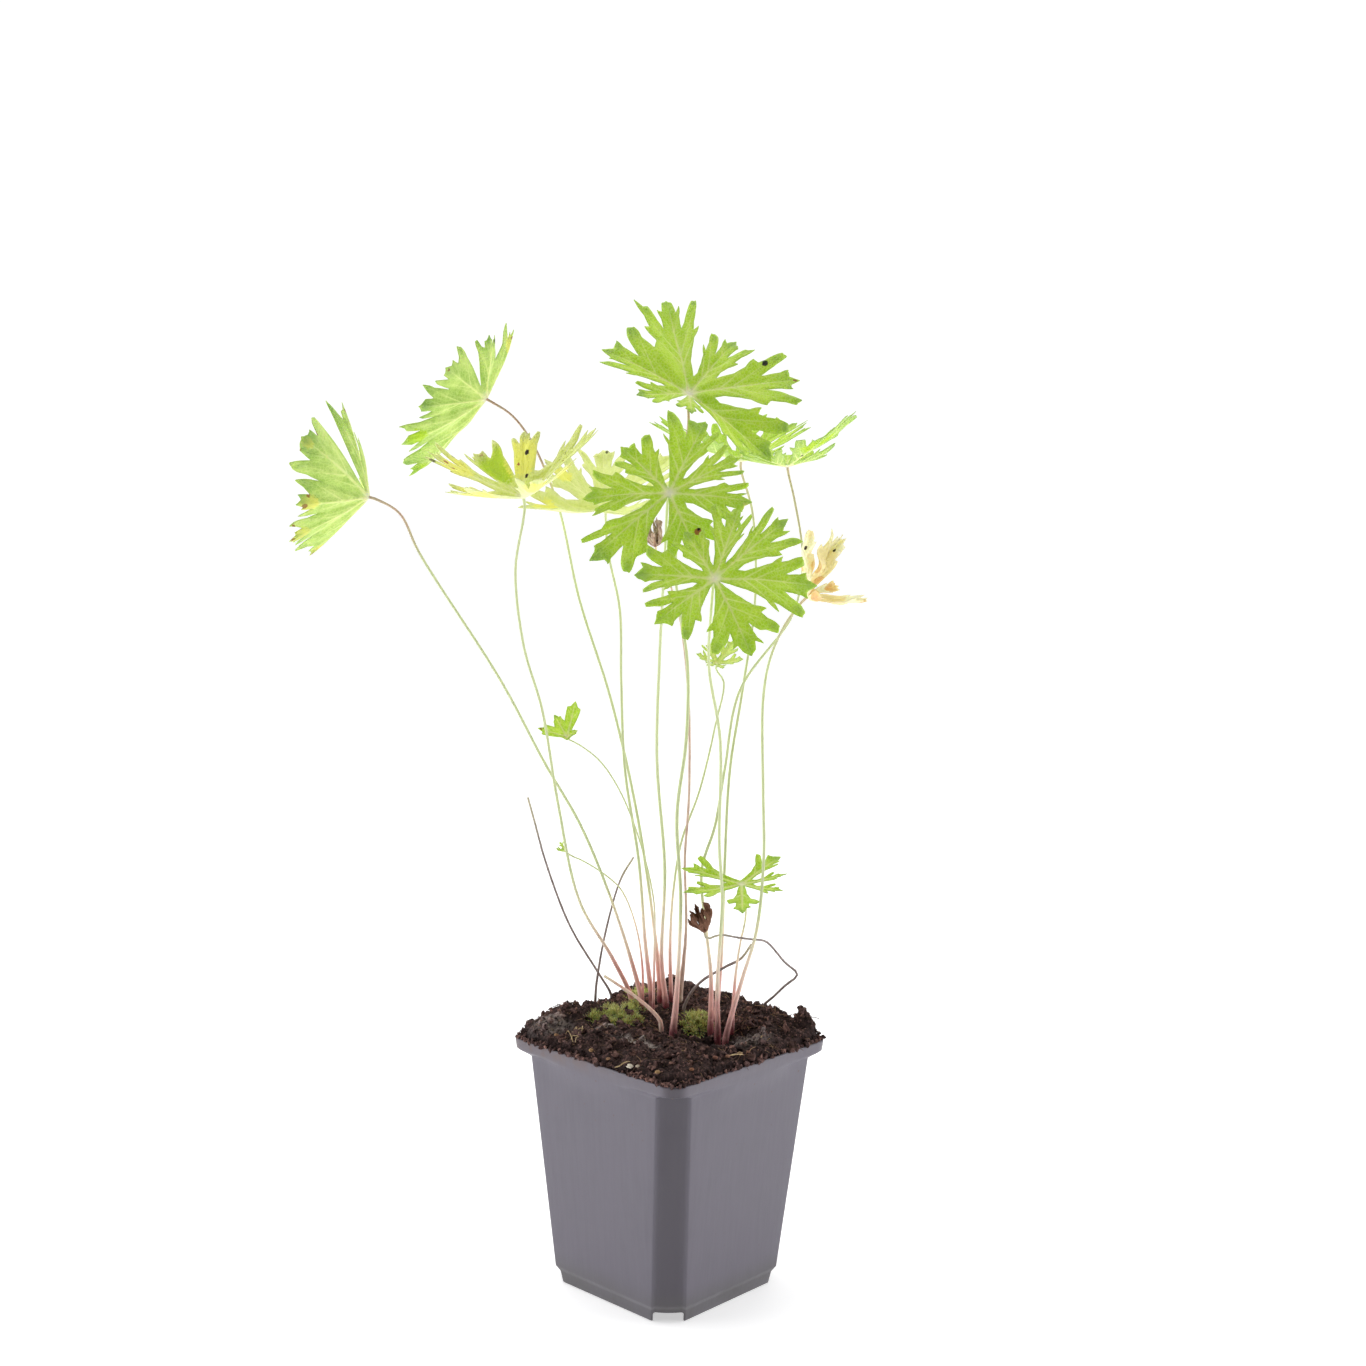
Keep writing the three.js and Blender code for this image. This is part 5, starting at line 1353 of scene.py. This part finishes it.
def insideOf(points, outline):
    x, y = points[:, 0][:, None], points[:, 1][:, None]
    ax, ay = outline[:, 0][None], outline[:, 1][None]
    bx, by = np.roll(outline[:, 0], -1)[None], np.roll(outline[:, 1], -1)[None]
    cross = ((ay > y) != (by > y)) & (x < (bx - ax) * (y - ay) / np.where(by == ay, 1e-9, by - ay) + ax)
    return cross.sum(axis=1) % 2 == 1


def nearest(points, starts, ends):
    # distance to the nearest piece of line, its number and how far along it
    d = ends - starts
    length = np.maximum((d ** 2).sum(1), 1e-12)
    found = []
    for k in range(0, len(points), 2000):
        p = points[k:k + 2000][:, None]
        t = np.clip(((p - starts[None]) * d[None]).sum(2) / length[None], 0, 1)
        gap = np.hypot(*np.moveaxis(p - (starts[None] + t[..., None] * d[None]), 2, 0))
        i = gap.argmin(1)
        rows = np.arange(len(i))
        found.append((gap[rows, i], i, t[rows, i]))
    return [np.concatenate(column) for column in zip(*found)]


def liftLeaf(leaf, lobes, flat):
    # from the flat outline to the cupped, pleated blade
    n, u, v = leafAxes(leaf["face"])
    names = ("turn", "length", "rise", "before", "after")
    column = {key: np.array([lobe[key] for lobe in lobes], float) for key in names}
    r = np.hypot(flat[:, 0], flat[:, 1])
    first = lobes[0]["turn"] - lobes[0]["before"] / 2
    theta = (np.degrees(np.arctan2(flat[:, 1], flat[:, 0])) - first) % 360
    starts = np.concatenate([[0], np.cumsum(column["before"] / 2 + column["after"] / 2)])
    i = np.clip(np.searchsorted(starts, theta, side="right") - 1, 0, len(lobes) - 1)
    off = theta - starts[i] - column["before"][i] / 2
    span = np.where(off >= 0, column["after"][i], column["before"][i])
    other = np.where(off >= 0, (i + 1) % len(lobes), (i - 1) % len(lobes))
    share = 0.5 - 0.5 * np.cos(np.pi * np.abs(off) / span)
    rise = column["rise"][i] + (column["rise"][other] - column["rise"][i]) * share
    lift = np.radians(leaf["cup"] + rise + leaf["bend"] * r / column["length"].max())
    turn = np.radians(column["turn"][i] + off)
    pleat = leaf["fold"] * r * (np.sqrt(np.sin(np.radians(off)) ** 2 + 0.0009) - 0.03)
    p = np.array(leaf["hub"], float) + np.outer(r * np.cos(lift) * np.cos(turn), u)
    p += np.outer(r * np.cos(lift) * np.sin(turn), v) + np.outer(r * np.sin(lift) + pleat, n)
    if leaf.get("crumple"):
        w = leaf["crumple"] * np.minimum(1, r / 6)
        for axis, along, shift in ((0, 2, 0), (1, 0, 2), (2, 1, 4)):
            p[:, axis] += w * np.sin(p[:, along] * blade["crumplePitch"] + shift)
    return p, r / column["length"][i]


def normalsOf(points, faces):
    a, b, c = points[faces[:, 0]], points[faces[:, 1]], points[faces[:, 2]]
    cross = np.cross(b - a, c - a)
    normals = np.zeros_like(points)
    for k in range(3):
        np.add.at(normals, faces[:, k], cross)
    return normals / np.maximum(np.linalg.norm(normals, axis=1), 1e-9)[:, None]


def ripple(flat, seed, pitch):
    # slow waves over the sheet, the same each run
    rng = random.Random(seed)
    total = np.zeros(len(flat))
    for k in range(5):
        a, f, shift = rng.uniform(0, 6.28), rng.uniform(0.6, 1.5) / pitch, rng.uniform(0, 6.28)
        total += np.sin((flat[:, 0] * math.cos(a) + flat[:, 1] * math.sin(a)) * f + shift)
    return total / 2.2


def veinLines(veins, spacing):
    # short pieces of every vein with a weight at each end, and points on and beside the veins
    starts, ends, weights, rows = [], [], [], []
    for line, first, last in veins:
        run = bowed(line, spacing * 0.9)
        t = np.linspace(0, 1, len(run))
        starts.append(run[:-1])
        ends.append(run[1:])
        weights.append(np.stack([first + (last - first) * t[:-1], first + (last - first) * t[1:]], 1))
        d = np.gradient(run, axis=0)
        side = np.stack([-d[:, 1], d[:, 0]], 1) / np.maximum(np.hypot(d[:, 0], d[:, 1]), 1e-9)[:, None]
        side = side[1:] * blade["besideVein"]
        rows += [run, run[1:] + side, run[1:] - side]
    return [np.concatenate(part) for part in (starts, ends, weights, rows)]


def flatMesh(outline, starts, ends, near, spacing, seed):
    # points on the veins and a jittered grid between them, joined inside the outline
    rng = random.Random(seed)
    low, high = outline.min(0), outline.max(0)
    grid, row, y = [], 0, low[1]
    while y < high[1]:
        x = low[0] + (row % 2) * spacing / 2
        while x < high[0]:
            grid.append((x + rng.uniform(-0.18, 0.18) * spacing, y + rng.uniform(-0.18, 0.18) * spacing))
            x += spacing
        y += spacing * 0.866
        row += 1
    grid, follow = np.array(grid), np.roll(outline, -1, axis=0)
    near = near[insideOf(near, outline)]
    near = near[nearest(near, outline, follow)[0] > blade["rimGap"]]
    grid = grid[insideOf(grid, outline)]
    clearOfVein = nearest(grid, starts, ends)[0] > blade["besideVein"] + 0.25 * spacing
    grid = grid[(nearest(grid, outline, follow)[0] > 0.32 * spacing) & clearOfVein]
    cloud = [Vector(p) for part in (outline, near, grid) for p in part]
    made = delaunay_2d_cdt(cloud, [], [list(range(len(outline)))], 1, 1e-5)
    flat = np.array([tuple(p) for p in made[0]])
    faces = np.array([f for f in made[2] if len(f) == 3])
    a, b, c = flat[faces[:, 0]], flat[faces[:, 1]], flat[faces[:, 2]]
    turned = (b[:, 0] - a[:, 0]) * (c[:, 1] - a[:, 1]) - (b[:, 1] - a[:, 1]) * (c[:, 0] - a[:, 0]) < 0
    faces[turned] = faces[turned][:, ::-1]
    used = np.unique(faces)
    order = np.full(len(flat), -1)
    order[used] = np.arange(len(used))
    return flat[used], order[faces]


def markMask(spots, flat, lobes, soft):
    mask = np.zeros(len(flat))
    for turn, part, size in spots:
        lobe = min(lobes, key=lambda l: abs((l["turn"] - turn + 180) % 360 - 180))
        gap = np.hypot(*(flat - polar(turn, part * lobe["length"])).T) / (size * 0.5)
        mask = np.maximum(mask, np.clip((1 + soft * 0.5 - gap) / soft, 0, 1))
    return mask


def buildBlade(leaf, index, materials):
    lobes, look = lobesOf(leaf), leaf.get("look", "green")
    outline, veins = flatLeaf(leaf, lobes)
    spacing = blade["smallMesh"] if leaf.get("small") else blade["mesh"]
    starts, ends, weights, near = veinLines(veins, spacing)
    flat, faces = flatMesh(outline, starts, ends, near, spacing, 100 + index)
    p, share = liftLeaf(leaf, lobes, flat)
    gap, which, along = nearest(flat, starts, ends)
    weight = weights[which, 0] * (1 - along) + weights[which, 1] * along
    rimGap = nearest(flat, outline, np.roll(outline, -1, axis=0))[0]
    r = np.hypot(flat[:, 0], flat[:, 1])
    wave = blade["wave"] * blade["limp"][look] * ripple(flat, 7 + index, 5.5) * np.minimum(1, r / 14)
    quilt = blade["quilt"] * (1 - np.exp(-(gap / 1.5) ** 2))
    quilt = quilt * np.minimum(1, rimGap / 1.2) * np.minimum(1, r / 6)
    creases, reach = blade["creases"].get(look, ([], 1))
    for most, seed, pitch in creases:
        wave = wave + most * ripple(flat, seed + index, pitch) * np.minimum(1, r / reach)
    p = p + normalsOf(p, faces) * (wave + quilt)[:, None]
    normal = normalsOf(p, faces)
    edgeThick = blade["edgeThickness"]
    thick = edgeThick + (blade["thickness"] - edgeThick) * np.minimum(1, rimGap / 1.5)
    rib = weight * np.exp(-(gap / (0.28 + 0.22 * weight)) ** 2)
    top = p + normal * (thick / 2 - blade["groove"] * rib)[:, None]
    under = p - normal * (thick / 2 + blade["ridge"] * rib * weight)[:, None]
    count, once = len(p), {}
    for f in faces:
        for s, e in ((f[0], f[1]), (f[1], f[2]), (f[2], f[0])):
            if once.pop((e, s), None) is None:
                once[(s, e)] = True
    allFaces = [tuple(f) for f in faces] + [(f[0] + count, f[2] + count, f[1] + count) for f in faces]
    allFaces += [(s, s + count, e + count, e) for s, e in once]
    piece = meshObject(f"blade_{leaf['name']}_fine", np.concatenate([top, under]), allFaces, materials[look])
    both = lambda values: np.concatenate([values, values])
    hub = blade["hubSpot"] * max(l["length"] for l in lobes)
    angle = np.degrees(np.arctan2(flat[:, 1], flat[:, 0]))
    # ray and out are radial coordinates for the painted shade of the pleats
    storeValues(
        piece, rib=both(rib), under=[0] * count + [1] * count, share=both(np.clip(share, 0, 1.2)),
        margin=both(np.exp(-rimGap / 0.5)), hub=both(np.exp(-(r / hub) ** 2)), out=both(r / 11 + index * 7),
        ray=both(angle / 4.5), pale=both(np.full(count, leaf["green"])))
    for colour, soft in (("green", 1.0), ("yellow", 1.0), ("brown", 0.45), ("black", 0.45)):
        spots = leaf.get("marks", {}).get(colour, [])
        storeValues(piece, **{colour: both(markMask(spots, flat, lobes, soft))})
    layer = piece.data.uv_layers.new(name="flat")
    corner = np.empty(len(piece.data.loops), np.int32)
    piece.data.loops.foreach_get("vertex_index", corner)
    spread = np.stack((both(flat[:, 0])[corner], both(flat[:, 1])[corner]), 1) / 100 + (index * 1.3, 0.5)
    layer.data.foreach_set("uv", spread.astype(np.float32).ravel())
    piece.data.validate()
    place(piece, blade["slots"][look], f"blade_{leaf['name']}")
    return len(piece.data.polygons)


def bladeMaterial(look):
    c, dry = leafColours[look], look == "dead"
    material, tree, shader = startMaterial(
        f"leaf{look.capitalize()}", Roughness=0.75 if dry else 0.5, Specular_IOR_Level=0.22,
        Subsurface_Scale=0.0012,
        Subsurface_Weight={"dead": 0.0, "dying": 0.85, "yellowing": 0.6, "green": 0.4}[look],
        Subsurface_Radius=(0.8, 1.0, 0.25) if look == "green" else (1.4, 1.4, 0.9))
    flat = scaled(addNode(tree, "ShaderNodeUVMap", uv_map="flat").outputs[0], (100, 100, 100))
    patch, fine = mottle(flat, 0.1, 0.24), mottle(flat, 0.9, 0.3)
    net = useGroup(veinNet, flat, 0.75)
    under, pale = attribute(tree, "under"), attribute(tree, "pale")
    colour = mix(calc("ADD", times(patch, 0.55), times(pale, 0.75), clamp=True), c["deep"], c["light"])
    # painted shade: darker radial streaks along the lobes stand in for the shading of pleats facing different
    # ways, and they also hold back the washed tone
    streak = mottle(joinedUp(tree, attribute(tree, "ray"), attribute(tree, "out")), 1.0, 0.18)
    colour = mix(times(streak, 0.5), colour, c["deep"])
    washed = times(remap(pale, 0.4, 1, 0, 0.9), remap(streak, 0, 1, 1, 0.6))
    colour = mix(washed, colour, c["washed"])
    colour = mix(times(fine, 0.22), colour, c["deep"])
    # painted shade: the undersides of the greener leaves (low pale) are pulled towards the darker underside
    # tone
    back = mix(remap(pale, 0.1, 0.6, 0.9, 0), mix(patch, c["under"], c["underDeep"]), c["underDeep"])
    colour = mix(under, colour, back)
    if dry:
        colour = mix(times(washed, 0.7), colour, c["washed"])
    colour = mix(times(net["Lines"], 0.28), colour, c["vein"])
    colour = mix(remap(attribute(tree, "rib"), 0.06, 0.6, 0, 0.85), colour, c["vein"])
    ragged = times(calc("SUBTRACT", fine, 0.5), 0.5)
    brown = mix(times(patch, 0.8), c["spot"], c.get("spotDeep", spotColours["spotDeep"]))
    for name, tint, most in (("green", spotColours["green"], 0.9), ("yellow", c["yellow"], 0.8),
                             ("brown", brown, 1.0), ("black", spotColours["black"], 1.0)):
        mask = remap(plus(attribute(tree, name), ragged), 0.3, 0.75)
        colour = mix(times(mask, most), colour, tint)
    # lobe ends and the margin take the tips tone: a painted shade on the green and yellowing leaves, the
    # drying colour of the tips on the dying and dead ones
    ends = times(remap(attribute(tree, "share"), 0.7, 1.02, 0, 0.75), remap(patch, 0.1, 0.9, 0.3, 1))
    rim = calc("MAXIMUM", ends, times(attribute(tree, "margin"), 0.45))
    colour = mix(rim, colour, c["tips"])
    colour = mix(times(attribute(tree, "hub"), 0.9), colour, c["heart"])
    smooth = 0.72 if dry else 0.46
    rough = remap(plus(fine, under), 0, 2, smooth, smooth + 0.2)
    height = plus(net["Swell"], times(fine, 0.35))
    finishMaterial(shader, colour, height, 0.0005 if dry else 0.00018, rough=rough)
    return material


def buildBlades():
    materials = {look: bladeMaterial(look) for look in leafColours}
    print("blades", sum(buildBlade(leaf, k, materials) for k, leaf in enumerate(leaves)), "faces")


buildBlades()

# ---- straw and loose bits

litter = {
    # bits of straw and old stipule: start, end, bow up, radius
    "straws": [((20, -37), (26.5, -33.5), 0.5, 0.24), ((-22, -45), (-15.5, -43), 0.5, 0.22),
               ((33, -20), (38, -14), 0.9, 0.2)],
    "tuft": {"place": (-36.5, -17), "spread": (2.6, 5.5), "count": 14, "length": (2.5, 5.5),
             "radius": (0.11, 0.2)},
    "straw": ((226, 204, 158), (166, 134, 94)), "bitDeep": (90, 64, 50),
    # loose bits: x, y, size, colour
    "bits": [
        (-16, -46.2, 2.1, (226, 216, 198)), (-13.2, -47.4, 1.3, (214, 198, 176)),
        (15.6, -39.8, 1.8, (138, 92, 76)), (20.5, -37, 1.6, (150, 108, 86)),
        (25.3, -33, 1.7, (170, 140, 104)), (28.5, -30.6, 1.3, (136, 94, 76)),
        (-6, -54, 1.8, (176, 140, 96)), (-30.5, -29.5, 1.6, (170, 132, 90)),
        (-44, -13, 1.5, (160, 120, 84)), (6.5, -52, 1.5, (140, 92, 64)),
        (-24, -38, 1.4, (150, 112, 80)), (40, -14, 1.3, (150, 110, 82)),
    ],
}


def buildStraws():
    rng = random.Random(19)
    tuft, straws = litter["tuft"], list(litter["straws"])
    for k in range(tuft["count"]):
        x, y = (rng.gauss(tuft["place"][j], tuft["spread"][j] / 2) for j in (0, 1))
        length, turn = rng.uniform(*tuft["length"]), rng.uniform(-0.9, 0.9) + math.pi / 2
        end = (x + length * math.cos(turn), y + length * math.sin(turn))
        straws.append(((x, y), end, rng.uniform(0.2, 1.8), rng.uniform(*tuft["radius"])))
    points, edges, thick, shares, count = [], [], [], [], 9
    for index, (start, end, bow, radius) in enumerate(straws):
        for k in range(count):
            t = k / (count - 1)
            x, y = start[0] + (end[0] - start[0]) * t, start[1] + (end[1] - start[1]) * t
            x += 0.5 * math.sin(3.1 * t + index)
            if k:
                edges.append((len(points) - 1, len(points)))
            points.append((x, y, soilTop(x, y) + 0.9 + bow * math.sin(math.pi * t)))
            thick.append(radius * mm * (0.55 + 0.45 * math.sin(math.pi * (0.15 + 0.7 * t))))
            shares.append(t / 2)
    piece = meshObject("line", points, [], edges=edges)
    storeValues(piece, thick=thick, share=shares)
    made = grow(piece, threadTree, "straws", {
        "Sides": 7, "Grooves": 0.0002, "Material": oldStalkMaterial("straw", *litter["straw"])})
    place(made, "stalk_dead")


def buildBits():
    points, faces, tones, around, rings = [], [], [], 9, 6
    rng = random.Random(5)
    for x, y, size, colour in litter["bits"]:
        start, tilt = len(points), rng.uniform(0, 3)
        for k in range(rings + 1):
            for i in range(around if 0 < k < rings else 1):
                a, b = 2 * math.pi * i / around + tilt, math.pi * k / rings
                d = Vector((math.sin(b) * math.cos(a), math.sin(b) * math.sin(a), math.cos(b)))
                r = size / 2 * (1 + 0.35 * noise.noise(d * 1.6 + Vector((x, y, 0))))
                points.append((x + d.x * r * 1.2, y + d.y * r, soilTop(x, y) + 0.9 + d.z * r * 0.75))
                tones.append(linear(colour))
        ring = lambda k, i: start + 1 + (k - 1) * around + i % around
        last = start + 1 + (rings - 1) * around
        for i in range(around):
            faces += [(start, ring(1, i), ring(1, i + 1)), (last, ring(rings - 1, i + 1), ring(rings - 1, i))]
            for k in range(1, rings - 1):
                faces.append((ring(k, i), ring(k + 1, i), ring(k + 1, i + 1), ring(k, i + 1)))
    material, tree, shader = startMaterial("looseBits", Roughness=0.85)
    where = objectPlace(tree)
    tint = addNode(tree, "ShaderNodeAttribute", attribute_name="tint").outputs["Color"]
    colour = mix(times(mottle(where, 1.2, 0.25), 0.4), tint, litter["bitDeep"])
    finishMaterial(shader, colour, grainAt(where, 3.0), 0.0003)
    piece = meshObject("loose_bits", points, faces, material)
    made = piece.data.color_attributes.new("tint", "FLOAT_COLOR", "POINT")
    made.data.foreach_set("color", np.array(tones, np.float32).ravel())
    place(piece, "peat")


buildStraws()
buildBits()
print("litter made")
